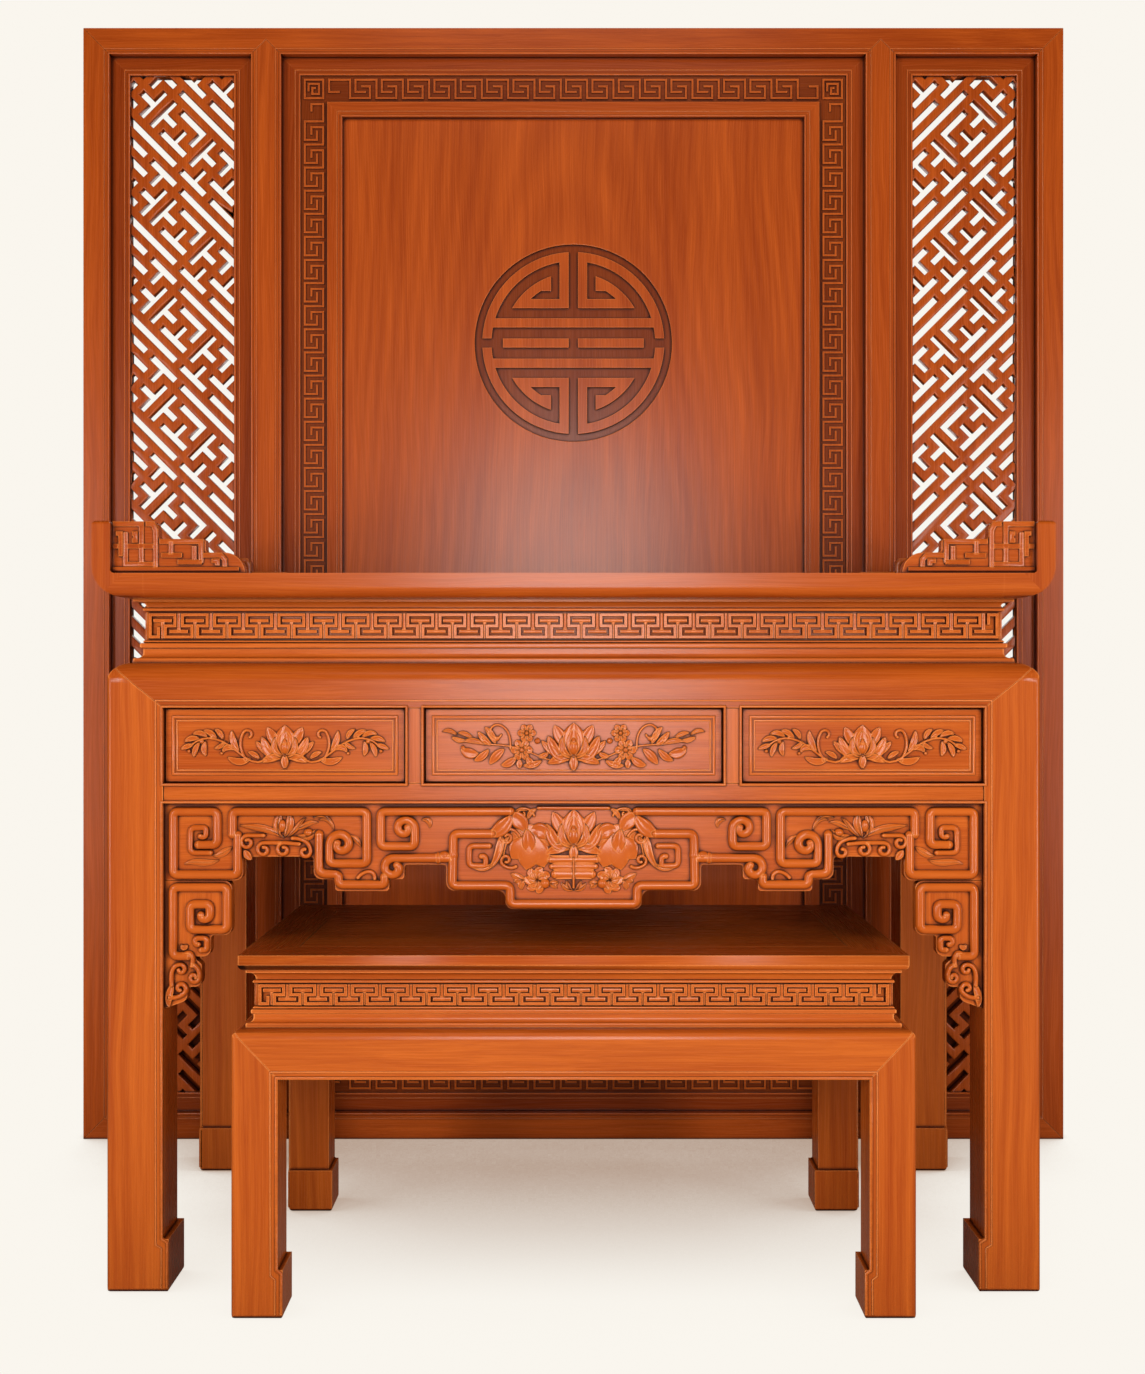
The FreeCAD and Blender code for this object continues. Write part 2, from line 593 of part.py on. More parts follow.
def front_apron():
    """Carved apron under the drawer rail, from leg to leg, with a tongue along its top."""
    corner_x = altar_inner_x - APRON_CORNER_WIDTH
    steps = [
        (APRON_CENTER_HALF, APRON_CENTER_DROP, SCROLL_ROUND),
        (APRON_CENTER_HALF, APRON_SHOULDER_DROP, SCROLL_ROUND),
        (APRON_SHOULDER_HALF, APRON_SHOULDER_DROP, SCROLL_ROUND),
        (APRON_SHOULDER_HALF, APRON_INNER_DROP, SCROLL_SMALL_ROUND),
        (CLOUD_INNER_EDGE, APRON_INNER_DROP, SCROLL_SMALL_ROUND),
        (CLOUD_INNER_EDGE, CLOUD_STEP_DROP, SCROLL_SMALL_ROUND),
        (CLOUD_INNER_EDGE + CLOUD_INNER_STEP, CLOUD_STEP_DROP, SCROLL_SMALL_ROUND),
        (CLOUD_INNER_EDGE + CLOUD_INNER_STEP, CLOUD_LOWEST_DROP, SCROLL_SMALL_ROUND),
        (CLOUD_OUTER_EDGE - CLOUD_OUTER_STEP, CLOUD_LOWEST_DROP, SCROLL_SMALL_ROUND),
        (CLOUD_OUTER_EDGE - CLOUD_OUTER_STEP, CLOUD_STEP_DROP, SCROLL_SMALL_ROUND),
        (CLOUD_OUTER_EDGE, CLOUD_STEP_DROP, SCROLL_ROUND),
        (CLOUD_OUTER_EDGE, APRON_OUTER_DROP, SCROLL_SMALL_ROUND),
        (corner_x, APRON_OUTER_DROP, SCROLL_SMALL_ROUND),
        (corner_x, APRON_CORNER_DROP, SCROLL_ROUND),
        (altar_inner_x, APRON_CORNER_DROP),
        (altar_inner_x, 0),
    ]
    half = [(step[0], apron_high - step[1]) + step[2:] for step in steps]
    front = APRON_SETBACK - ALTAR_DEPTH / 2
    board = along_y(mirrored_outline(half), front, front + APRON_THICK)
    tongue_start = front + (APRON_THICK - TONGUE_THICK) / 2
    tongue = box((-altar_inner_x, altar_inner_x), (tongue_start, tongue_start + TONGUE_THICK),
                 (apron_high, apron_high + TONGUE_LENGTH))
    return joined(board, tongue)


def left_spandrel():
    """Carved bracket between the apron's corner block and the leg, tongued into the leg."""
    steps = [
        (0, APRON_CORNER_DROP),
        (SPANDREL_WIDTH, APRON_CORNER_DROP, SCROLL_ROUND),
        (SPANDREL_WIDTH, SPANDREL_BLOCK_DROP, SCROLL_ROUND),
        (SPANDREL_HOOK_WIDTH, SPANDREL_BLOCK_DROP, SCROLL_SMALL_ROUND),
        (SPANDREL_HOOK_WIDTH, SPANDREL_HOOK_DROP, SCROLL_ROUND),
        (SPANDREL_NECK_WIDTH, SPANDREL_HOOK_DROP),
        (SPANDREL_PENDANT_WIDTH, SPANDREL_HOOK_DROP + SCROLL_ROUND, SCROLL_SMALL_ROUND),
        (SPANDREL_PENDANT_WIDTH, SPANDREL_PENDANT_DROP, SCROLL_ROUND),
        (SPANDREL_TIP_WIDTH, SPANDREL_PENDANT_DROP, SCROLL_SMALL_ROUND),
        (SPANDREL_TIP_WIDTH, SPANDREL_TIP_DROP, SCROLL_ROUND),
        (0, SPANDREL_DROP),
    ]
    outline = [(step[0] - altar_inner_x, apron_high - step[1]) + step[2:] for step in steps]
    front = APRON_SETBACK - ALTAR_DEPTH / 2
    board = along_y(outline, front, front + APRON_THICK)
    tongue_start = front + (APRON_THICK - TONGUE_THICK) / 2
    tongue = box((-altar_inner_x - TONGUE_LENGTH, -altar_inner_x),
                 (tongue_start, tongue_start + TONGUE_THICK),
                 (apron_high - SPANDREL_PENDANT_DROP, apron_high - APRON_CORNER_DROP))
    return joined(board, tongue)


def left_side_apron():
    """Plain apron under the lower side rail, with the same corner blocks as the front."""
    corner_y = altar_inner_y - APRON_CORNER_WIDTH
    steps = [
        (SIDE_APRON_MIDDLE_HALF, CLOUD_STEP_DROP, SCROLL_ROUND),
        (SIDE_APRON_MIDDLE_HALF, APRON_OUTER_DROP, SCROLL_SMALL_ROUND),
        (corner_y, APRON_OUTER_DROP, SCROLL_SMALL_ROUND),
        (corner_y, APRON_CORNER_DROP, SCROLL_ROUND),
        (altar_inner_y, APRON_CORNER_DROP),
        (altar_inner_y, 0),
    ]
    half = [(step[0], apron_high - step[1]) + step[2:] for step in steps]
    outer = APRON_SETBACK - ALTAR_LENGTH / 2
    board = along_x(mirrored_outline(half), outer, outer + APRON_THICK)
    tongue_start = outer + (APRON_THICK - TONGUE_THICK) / 2
    tongue = box((tongue_start, tongue_start + TONGUE_THICK), (-altar_inner_y, altar_inner_y),
                 (apron_high, apron_high + TONGUE_LENGTH))
    return joined(board, tongue)


def altar_table():
    rail_thick = ALTAR_WAIST_INSET + ALTAR_FRIEZE_THICK
    legs, rails = leg_frame(ALTAR_LENGTH, ALTAR_DEPTH, ALTAR_LEG, altar_rail_low, altar_rail_high,
                            rail_thick, ALTAR_FRAME_ROUND, ALTAR_FOOT_HEIGHT, ALTAR_FOOT_PROUD)
    neck, frieze, base = waist(ALTAR_LENGTH, ALTAR_DEPTH, ALTAR_WAIST_INSET, ALTAR_FRIEZE_THICK,
                               ALTAR_MOULDING_PROUD,
                               (altar_slab_low, altar_neck_low, altar_frieze_low, altar_rail_high))
    front_low = lower_rail("x", altar_inner_x, LOWER_RAIL_SETBACK - ALTAR_DEPTH / 2)
    back_low = mirror_y(front_low)
    left_low = lower_rail("y", altar_inner_y, LOWER_RAIL_SETBACK - ALTAR_LENGTH / 2)
    left_panel, right_panel, back_panel = case_panels()
    left_post, right_post = drawer_posts()
    apron = front_apron()
    spandrel = left_spandrel()
    side_apron = left_side_apron()

    left_low = left_low.cut([left_panel, side_apron])
    back_low = back_low.cut(back_panel)
    drawer_rail = front_low.cut([left_post, right_post, apron])
    rails["front"] = rails["front"].cut([left_post, right_post])
    rails["back"] = rails["back"].cut(back_panel)
    rails["left"] = rails["left"].cut(left_panel)
    front_leg = legs["front_left"].cut([front_low, left_low, left_panel, spandrel])
    back_leg = legs["back_left"].cut([back_low, left_low, left_panel, back_panel])

    pieces = {
        "altar_leg_front_left": [front_leg],
        "altar_leg_front_right": [mirror_x(front_leg)],
        "altar_leg_back_left": [back_leg],
        "altar_leg_back_right": [mirror_x(back_leg)],
        "altar_front_rail": [rails["front"]],
        "altar_back_rail": [rails["back"]],
        "altar_side_rails": [rails["left"], mirror_x(rails["left"])],
        "altar_neck_moulding": neck,
        "altar_frieze": frieze,
        "altar_base_moulding": base,
        "altar_drawer_rail": [drawer_rail],
        "altar_drawer_posts": [left_post, right_post],
        "altar_lower_rails": [left_low, mirror_x(left_low), back_low],
        "altar_case_panels": [left_panel, right_panel, back_panel],
        "altar_drawer_runners": drawer_runners(),
        "altar_apron": [apron],
        "altar_left_spandrel": [spandrel],
        "altar_right_spandrel": [mirror_x(spandrel)],
        "altar_side_aprons": [side_apron, mirror_x(side_apron)],
    }
    pieces.update(altar_top())
    post_inner = DRAWER_POST_CENTER - DRAWER_POST_WIDTH / 2
    post_outer = DRAWER_POST_CENTER + DRAWER_POST_WIDTH / 2
    bays = {
        "left": (-altar_inner_x, -post_outer),
        "center": (-post_inner, post_inner),
        "right": (post_outer, altar_inner_x),
    }
    for name, (left, right) in bays.items():
        front, drawer_box = drawer(left, right)
        pieces["drawer_" + name + "_front"] = [front]
        pieces["drawer_" + name + "_box"] = drawer_box
    return pieces


def offering_table():
    slab_low = offering_height - OFFERING_TOP_THICK
    neck_low = slab_low - OFFERING_NECK_HEIGHT
    frieze_low = neck_low - OFFERING_FRIEZE_HEIGHT
    rail_high = frieze_low - OFFERING_BASE_HEIGHT
    rail_low = rail_high - OFFERING_RAIL_HEIGHT
    rail_thick = OFFERING_WAIST_INSET + OFFERING_FRIEZE_THICK
    legs, rails = leg_frame(offering_length, OFFERING_DEPTH, OFFERING_LEG, rail_low, rail_high,
                            rail_thick, OFFERING_FRAME_ROUND, OFFERING_FOOT_HEIGHT, OFFERING_FOOT_PROUD)
    neck, frieze, base = waist(offering_length, OFFERING_DEPTH, OFFERING_WAIST_INSET,
                               OFFERING_FRIEZE_THICK, OFFERING_MOULDING_PROUD,
                               (slab_low, neck_low, frieze_low, rail_high))
    top_length = offering_length - 2 * OFFERING_TOP_INSET
    top_depth = OFFERING_DEPTH - 2 * OFFERING_TOP_INSET
    panel_low = offering_height - TOP_PANEL_THICK
    panel = tongued_panel(top_length / 2 - OFFERING_TOP_MEMBER, top_depth / 2 - OFFERING_TOP_MEMBER,
                          panel_low, offering_height)
    top_frame = mitred_ring(top_length, top_depth, [
        (0, slab_low, OFFERING_TOP_EDGE_ROUND), (OFFERING_TOP_MEMBER, slab_low),
        (OFFERING_TOP_MEMBER, offering_height), (0, offering_height)])
    panel_y = top_depth / 2 - OFFERING_TOP_MEMBER
    battens = [box((middle - BATTEN_WIDTH / 2, middle + BATTEN_WIDTH / 2), (-panel_y, panel_y),
                   (slab_low, panel_low))
               for middle in batten_places(OFFERING_BATTEN_COUNT, top_length - 2 * OFFERING_TOP_MEMBER)]
    pieces = {"offering_leg_" + name: [leg] for name, leg in legs.items()}
    pieces.update({
        "offering_rails": list(rails.values()),
        "offering_neck_moulding": neck,
        "offering_frieze": frieze,
        "offering_base_moulding": base,
        "offering_top_frame": [member.cut(panel) for member in top_frame],
        "offering_top_panel": [panel],
        "offering_top_battens": battens,
    })
    return pieces


def upright_frame(width, height, middle_x, section_width, setback, thick):
    """A mitred frame standing in the screen: bottom, right, top and left bars."""
    ring = mitred_ring(width, height, flat_section(section_width, -setback - thick, -setback))
    place = Vector(middle_x, screen_front, SCREEN_HEIGHT / 2)
    bars = []
    for bar in ring:
        upright = bar.copy()
        upright.rotate(Vector(0, 0, 0), Vector(1, 0, 0), 90)
        upright.translate(place)
        bars.append(upright)
    return bars


def lattice_letter(column, row):
    repeat, row_in_repeat = divmod(row, len(LATTICE_CELLS))
    cells = LATTICE_CELLS[row_in_repeat]
    return cells[(column - repeat * len(LATTICE_CELLS)) % len(cells)]


def slot_runs(cell_count, letter_at):
    """Straight runs of two or more cells of one slot: (line, first cell, last cell)."""
    runs = []
    for line in range(-cell_count, cell_count):
        first = -cell_count
        for cell in range(1 - cell_count, cell_count + 1):
            if letter_at(line, cell) == letter_at(line, first):
                continue
            if cell - first > 1:
                runs.append((line, first, cell - 1))
            first = cell
    return runs


def lattice(width, height, middle_x):
    """A fret board: a plate with slots on a grid turned by 45 degrees, its edge held in grooves."""
    y = screen_front + LATTICE_SETBACK
    middle = Vector(middle_x, y, SCREEN_HEIGHT / 2)
    fall = Vector(1, 0, -1).normalize()
    climb = Vector(1, 0, 1).normalize()

    def slot_face(run, along, across):
        line, first, last = run
        half = LATTICE_SLOT / 2
        start = middle + across * (line * LATTICE_PITCH) + along * (first * LATTICE_PITCH - half)
        finish = middle + across * (line * LATTICE_PITCH) + along * (last * LATTICE_PITCH + half)
        ring = [start - across * half, finish - across * half, finish + across * half, start + across * half]
        return Part.Face(Part.makePolygon(ring + ring[:1]))

    def plate(grow):
        half_width = width / 2 + grow
        half_height = height / 2 + grow
        corners = [(middle.x - half_width, middle.z - half_height),
                   (middle.x + half_width, middle.z - half_height),
                   (middle.x + half_width, middle.z + half_height),
                   (middle.x - half_width, middle.z + half_height)]
        return outline_face(corners, lambda point: Vector(point.x, y, point.y))

    opening = plate(0)
    half_diagonal = math.hypot(width, height) / 2
    cell_count = math.ceil(half_diagonal / LATTICE_PITCH) + 1
    falling = [slot_face(run, fall, climb)
               for run in slot_runs(cell_count, lambda line, cell: lattice_letter(cell, line))]
    climbing = [slot_face(run, climb, fall) for run in slot_runs(cell_count, lattice_letter)]
    board = plate(TONGUE_LENGTH)
    for slots in (falling, climbing):
        inside = [slot for slot in slots if slot.distToShape(opening)[0] < NEARLY_ZERO]
        board = board.cut(Part.makeCompound(inside).common(opening))
    return board.Faces[0].extrude(Vector(0, LATTICE_THICK, 0))


def medallion_disc(radius, setback, thick):
    place = Vector(0, screen_front + setback, medallion_middle)
    return Part.makeCylinder(radius, thick, place, Vector(0, 1, 0))


def medallion():
    """A disc with a raised round fret, alike above and below and left and right."""
    face = PANEL_SETBACK
    raise_depth = MEDALLION_SINK - MEDALLION_GROUND
    y_range = (screen_front + face, screen_front + face + raise_depth)
    half_slit = FRET_SLIT / 2

    def bar(x_range, z_range):
        return box(x_range, y_range, (medallion_middle + z_range[0], medallion_middle + z_range[1]))

    def ring(radius):
        return medallion_disc(radius, face, raise_depth).cut(
            medallion_disc(radius - FRET_STROKE, face, raise_depth))

    ring_room = FRET_RING_RADIUS - FRET_STROKE
    outer_arc = ring(FRET_RING_RADIUS).common(
        bar((half_slit, FRET_RING_RADIUS), (half_slit, FRET_RING_RADIUS)))
    inner_arc = ring(FRET_INNER_RADIUS).common(
        bar((FRET_HOOK, FRET_INNER_RADIUS), (FRET_SHELF, FRET_INNER_RADIUS)))
    upright = bar((half_slit, half_slit + FRET_STROKE), (FRET_SHELF, ring_room))
    shelf = bar((half_slit, FRET_INNER_RADIUS), (FRET_SHELF, FRET_SHELF + FRET_STROKE))
    shelf = shelf.common(medallion_disc(FRET_INNER_RADIUS, face, raise_depth))
    hook = bar((FRET_HOOK, FRET_HOOK + FRET_STROKE), (FRET_HOOK_LOW, FRET_INNER_RADIUS))
    hook = hook.common(medallion_disc(FRET_INNER_RADIUS, face, raise_depth))
    long_bar = bar((0, ring_room), (FRET_BAR, FRET_BAR + FRET_STROKE))
    long_bar = long_bar.common(medallion_disc(ring_room, face, raise_depth))
    middle_bar = bar((half_slit, FRET_INNER_RADIUS), (-half_slit, half_slit))
    quarter = [outer_arc, inner_arc, upright, shelf, hook, long_bar, middle_bar]
    upper = quarter + [mirror_x(stroke) for stroke in quarter]
    middle = Vector(0, 0, medallion_middle)
    strokes = upper + [stroke.mirror(middle, Vector(0, 0, 1)) for stroke in upper]
    ground = medallion_disc(MEDALLION_RADIUS, face + raise_depth, MEDALLION_GROUND)
    return joined(ground, *strokes)


def mullion(middle_x):
    """Upright bar of the screen, with a pointed end let into the rail above and below."""
    half = MULLION_WIDTH / 2
    low = SCREEN_MEMBER
    high = SCREEN_HEIGHT - SCREEN_MEMBER
    corners = [(middle_x - half, low), (middle_x, low - MULLION_POINT), (middle_x + half, low),
               (middle_x + half, high), (middle_x, high + MULLION_POINT), (middle_x - half, high)]
    return along_y(corners, screen_front, screen_front + SCREEN_THICK)


def screen():
    bottom, right, top, left = upright_frame(SCREEN_WIDTH, SCREEN_HEIGHT, 0, SCREEN_MEMBER, 0, SCREEN_THICK)
    mullions = [mullion(-MULLION_CENTER), mullion(MULLION_CENTER)]
    inner_height = SCREEN_HEIGHT - 2 * SCREEN_MEMBER

    bay_outer = SCREEN_WIDTH / 2 - SCREEN_MEMBER
    bay_inner = MULLION_CENTER + MULLION_WIDTH / 2
    bay_width = bay_outer - bay_inner
    bay_middle = -(bay_outer + bay_inner) / 2
    left_lattice = lattice(bay_width - 2 * LATTICE_FRAME_WIDTH, inner_height - 2 * LATTICE_FRAME_WIDTH,
                           bay_middle)
    left_frame = upright_frame(bay_width, inner_height, bay_middle, LATTICE_FRAME_WIDTH,
                               LATTICE_FRAME_SETBACK, LATTICE_FRAME_THICK)
    left_frame = [bar.cut(left_lattice) for bar in left_frame]

    width = 2 * MULLION_CENTER - MULLION_WIDTH
    height = inner_height
    band = upright_frame(width, height, 0, BAND_WIDTH, BAND_SETBACK, BAND_THICK)
    width -= 2 * BAND_WIDTH
    height -= 2 * BAND_WIDTH
    border = upright_frame(width, height, 0, BORDER_WIDTH, BORDER_SETBACK, BORDER_THICK)
    width -= 2 * BORDER_WIDTH
    height -= 2 * BORDER_WIDTH
    moulding = upright_frame(width, height, 0, PANEL_MOULDING_WIDTH, PANEL_MOULDING_SETBACK,
                             PANEL_MOULDING_THICK)
    half_width = width / 2 - PANEL_MOULDING_WIDTH
    half_height = height / 2 - PANEL_MOULDING_WIDTH
    middle_z = SCREEN_HEIGHT / 2
    panel_y = screen_front + PANEL_SETBACK
    panel = box((-half_width - TONGUE_LENGTH, half_width + TONGUE_LENGTH), (panel_y, panel_y + PANEL_THICK),
                (middle_z - half_height - TONGUE_LENGTH, middle_z + half_height + TONGUE_LENGTH))
    moulding = [bar.cut(panel) for bar in moulding]
    panel = panel.cut(medallion_disc(MEDALLION_RADIUS, PANEL_SETBACK, MEDALLION_SINK))
    battens = [box((-half_width, half_width), (panel_y + PANEL_THICK, screen_front + SCREEN_THICK),
                   (middle_z + place - SCREEN_BATTEN_HEIGHT / 2, middle_z + place + SCREEN_BATTEN_HEIGHT / 2))
               for place in batten_places(SCREEN_BATTEN_COUNT, 2 * half_height)]
    return {
        "screen_left_stile": [left],
        "screen_right_stile": [right],
        "screen_top_rail": [top.cut(mullions)],
        "screen_bottom_rail": [bottom.cut(mullions)],
        "screen_mullions": mullions,
        "screen_lattice_frames": left_frame + [mirror_x(bar) for bar in left_frame],
        "screen_left_lattice": [left_lattice],
        "screen_right_lattice": [mirror_x(left_lattice)],
        "screen_band_frame": band,
        "screen_fret_border": border,
        "screen_panel_moulding": moulding,
        "screen_panel": [panel],
        "screen_medallion": [medallion()],
        "screen_battens": battens,
    }


def place_nodes(pieces, y):
    for name, solids in pieces.items():
        nodes[name] = [moved(solid, Vector(0, y, 0)) for solid in solids]


def write_nodes():
    os.makedirs("parts", exist_ok=True)
    for name, shapes in nodes.items():
        solids = [solid for shape in shapes for solid in shape.Solids]
        node = solids[0] if len(solids) == 1 else Part.makeCompound(solids)
        volume = sum(solid.Volume for solid in solids)
        print(name, len(shapes), len(solids), node.isValid(), round(volume))
        node.exportStep("parts/" + name + ".step")


place_nodes(altar_table(), altar_middle)
place_nodes(offering_table(), offering_middle)
place_nodes(screen(), 0)
write_nodes()
print(len(nodes), "nodes")
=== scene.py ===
"""Looks of the carved ancestral altar set: lacquered wood, beads and mouldings, key frets and relief
carving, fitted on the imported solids.

The frame is in metres. Sizes here are millimetres, and carvings are drawn on the face that carries them.
"""
import bmesh
import bpy
import math
from mathutils import Matrix, Vector


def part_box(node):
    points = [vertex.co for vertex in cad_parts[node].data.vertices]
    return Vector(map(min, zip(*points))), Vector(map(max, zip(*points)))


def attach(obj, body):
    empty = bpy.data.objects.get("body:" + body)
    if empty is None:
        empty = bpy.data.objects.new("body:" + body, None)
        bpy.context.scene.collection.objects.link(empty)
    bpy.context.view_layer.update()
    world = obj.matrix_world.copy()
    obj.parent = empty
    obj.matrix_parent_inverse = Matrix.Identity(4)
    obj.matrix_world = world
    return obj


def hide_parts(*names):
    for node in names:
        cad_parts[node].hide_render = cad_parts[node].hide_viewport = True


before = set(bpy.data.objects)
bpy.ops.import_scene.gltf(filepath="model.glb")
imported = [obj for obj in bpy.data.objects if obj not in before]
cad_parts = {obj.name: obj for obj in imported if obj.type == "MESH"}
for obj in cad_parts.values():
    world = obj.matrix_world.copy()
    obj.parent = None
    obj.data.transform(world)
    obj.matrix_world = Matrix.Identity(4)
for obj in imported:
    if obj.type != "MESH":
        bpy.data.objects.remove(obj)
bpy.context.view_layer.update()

MM = 0.001

# Camera, read from the photograph's perspective
CAMERA_LENS = 40.74
CAMERA_PLACE = (-0.002, -3.184, 1.070)

# Softened edges of the solids
EDGE_SOFTENING = 1.2
SOFT_STEPS = 3
EDGE_ANGLE = math.radians(32)
SHARP_ANGLE = math.radians(46)
FLAT_ANGLE = math.radians(0.5)
SEAM = 0.02
WELD_REACH = 0.005

# Inner edges of the feet, rounded underneath
FOOT_ROUNDING = 8.0
FOOT_STEPS = 6

# Carved grounds, which get painted shade, and where the grain of the altar's top bends upwards
GROUND_DEPTH = 2.0
GROUND_EDGE = 0.001
GROUND_SHADE = 0.6
FRET_GROUND = 1.2
TOP_TURN = 13.0
FAR_ABOVE = 10.0

# Tones of the wood as linear colours: the dark and the light of the grain and the painted highlight along
# edges
TABLE_EDGE_HIGHLIGHT = (0.95, 0.32, 0.08, 1)
TABLE_TONES = ((0.37, 0.055, 0.0055, 1), (0.66, 0.145, 0.016, 1), TABLE_EDGE_HIGHLIGHT)
CARVED_TONES = ((0.45, 0.076, 0.008, 1), (0.64, 0.136, 0.015, 1), TABLE_EDGE_HIGHLIGHT)
# Painted shade: a darker copy of the table wood for the rails, scroll brackets and the altar's top
SHADED_RAIL_TONES = ((0.305, 0.040, 0.0034, 1), (0.54, 0.106, 0.010, 1), (0.86, 0.27, 0.06, 1))
# Darker than the table wood: partly the screen's own tone, partly painted shade for the light that falls off
# towards the back
SCREEN_TONES = ((0.33, 0.044, 0.0045, 1), (0.62, 0.112, 0.012, 1), (0.80, 0.22, 0.05, 1))
# Painted shade: a darker copy of the screen wood for the recessed frames, the band and the boards behind the
# lattices
SHADED_SCREEN_TONES = ((0.225, 0.028, 0.003, 1), (0.42, 0.070, 0.008, 1), (0.60, 0.15, 0.035, 1))
LINING_TONES = ((0.30, 0.16, 0.075, 1), (0.56, 0.34, 0.17, 1), (0.62, 0.40, 0.22, 1))
# Painted shade: the dark colour that grooves and places shut in by others are blended towards
CREVICE_SHADE = (0.05, 0.007, 0.0018, 1)
SCREEN_COAT = 0.12

# Layers of the grain: changes per metre along and across it, how far it sways, its detail and roughness
SWAY = (1.5, 4.0, 0.0, 2.0, 0.5)
BANDS = (0.5, 10.0, 1.2, 2.0, 0.55)
STREAKS = (2.2, 95.0, 7.0, 4.0, 0.6)
HAIRS = (7.0, 420.0, 20.0, 2.0, 0.6)
PORES = (34.0, 900.0, 0.0, 1.0, 0.5)

# Where each layer goes from dark to light, and its share of the tone
BAND_RANGE = (0.28, 0.72)
STREAK_RANGE = (0.25, 0.75)
HAIR_RANGE = (0.3, 0.7)
PORE_RANGE = (0.60, 0.74)
BAND_SHARE = 0.42
STREAK_SHARE = 0.36
HAIR_SHARE = 0.22
PORE_SHARE = 0.14

# Growth rings of the flame figure
RING_RATE = 260.0
RING_SWAY = 4.0
RING_BEND = 0.06
RING_FLAT = 0.3
RING_LEAN = 0.1

# Painted shade in grooves and in places shut in by others, and the painted highlight along edges:
# how far off they are felt, in metres, and between which values
CREVICE_REACH = 0.010
CREVICE_OPEN = (0.5, 0.9)
RECESS_REACH = 0.45
RECESS_OPEN = (0.2, 0.6)
RIM_REACH = 0.0034
RIM_TURN = (0.015, 0.08)

# Lacquer
BUMP_STRENGTH = 0.1
BUMP_DEPTH = 0.0004
HAIR_BUMP = 0.4
PORE_BUMP = 0.6
HAIR_DULL = 0.14
CREVICE_DULL = 0.15
SHEEN_LEVEL = 0.16
COAT_ROUGHNESS = 0.22


class Signal:
    """A value inside a finish; arithmetic on signals adds the Math nodes."""

    def __init__(self, finish, socket):
        self.finish = finish
        self.socket = socket

    def sibling(self, name):
        return Signal(self.finish, self.socket.node.outputs[name])

    def math(self, operation, *values):
        return self.finish.node("ShaderNodeMath", {"operation": operation}, dict(enumerate(values)))

    def __add__(self, other):
        return self.math("ADD", self, other)

    def __radd__(self, other):
        return self.math("ADD", other, self)

    def __sub__(self, other):
        return self.math("SUBTRACT", self, other)

    def __rsub__(self, other):
        return self.math("SUBTRACT", other, self)

    def __mul__(self, other):
        return self.math("MULTIPLY", self, other)

    def __rmul__(self, other):
        return self.math("MULTIPLY", other, self)

    def __pow__(self, exponent):
        return self.math("POWER", self, exponent)

    def __gt__(self, other):
        return self.math("GREATER_THAN", self, other)

    def __abs__(self):
        return self.math("ABSOLUTE", self)

    def sine(self):
        return self.math("SINE", self)

    def smooth(self, low, high):
        """0 below low, 1 above high and a smooth step between them."""
        return self.finish.node("ShaderNodeMapRange", {"interpolation_type": "SMOOTHSTEP"},
                                {0: self, 1: low, 2: high})


class Finish:
    """A material under construction."""

    def __init__(self, name):
        self.material = bpy.data.materials.new(name)
        self.material.use_nodes = True
        self.tree = self.material.node_tree
        self.tree.nodes.clear()

    def node(self, kind, settings=None, inputs=None, output=0):
        made = self.tree.nodes.new(kind)
        for name, value in (settings or {}).items():
            setattr(made, name, value)
        for key, value in (inputs or {}).items():
            if isinstance(value, Signal):
                self.tree.links.new(value.socket, made.inputs[key])
            else:
                made.inputs[key].default_value = value
        return Signal(self, made.outputs[output]) if made.outputs else None

    def vector(self, x, y, z):
        return self.node("ShaderNodeCombineXYZ", inputs={0: x, 1: y, 2: z})

    def noise(self, vector, detail, roughness):
        return self.node("ShaderNodeTexNoise",
                         inputs={"Vector": vector, "Scale": 1.0, "Detail": detail, "Roughness": roughness})

    def blend(self, share, first, second):
        """From the first colour to the second."""
        return self.node("ShaderNodeMix", {"data_type": "RGBA"}, {0: share, 6: first, 7: second}, 2)


def grain_axes(finish, grain):
    """Object coordinates as (along the grain, across it, the third way), in metres.

    A grain is an axis, or a mitred ring: two axes, their middles, how much longer the first half side
    is than the second, and how far from the middle a pair of rings stands.
    """
    place = finish.node("ShaderNodeTexCoord", output="Object")
    apart = finish.node("ShaderNodeSeparateXYZ", inputs={0: place})
    axes = {"x": apart.sibling("X"), "y": apart.sibling("Y"), "z": apart.sibling("Z")}
    if isinstance(grain, str):
        others = [axes[name] for name in "xyz" if name != grain]
        return axes[grain], others[0], others[1]
    first_name, second_name, first_middle, second_middle, longer, apart_by = grain
    first = axes[first_name]
    second = axes[second_name]
    third = axes[next(name for name in "xyz" if name not in (first_name, second_name))]
    first_reach = abs(first - first_middle)
    if apart_by:
        first_reach = abs(first_reach - apart_by)
    turned = first_reach - abs(second - second_middle) > longer
    along = first + (second - first) * turned
    across = second + (first - second) * turned
    return along, across, third


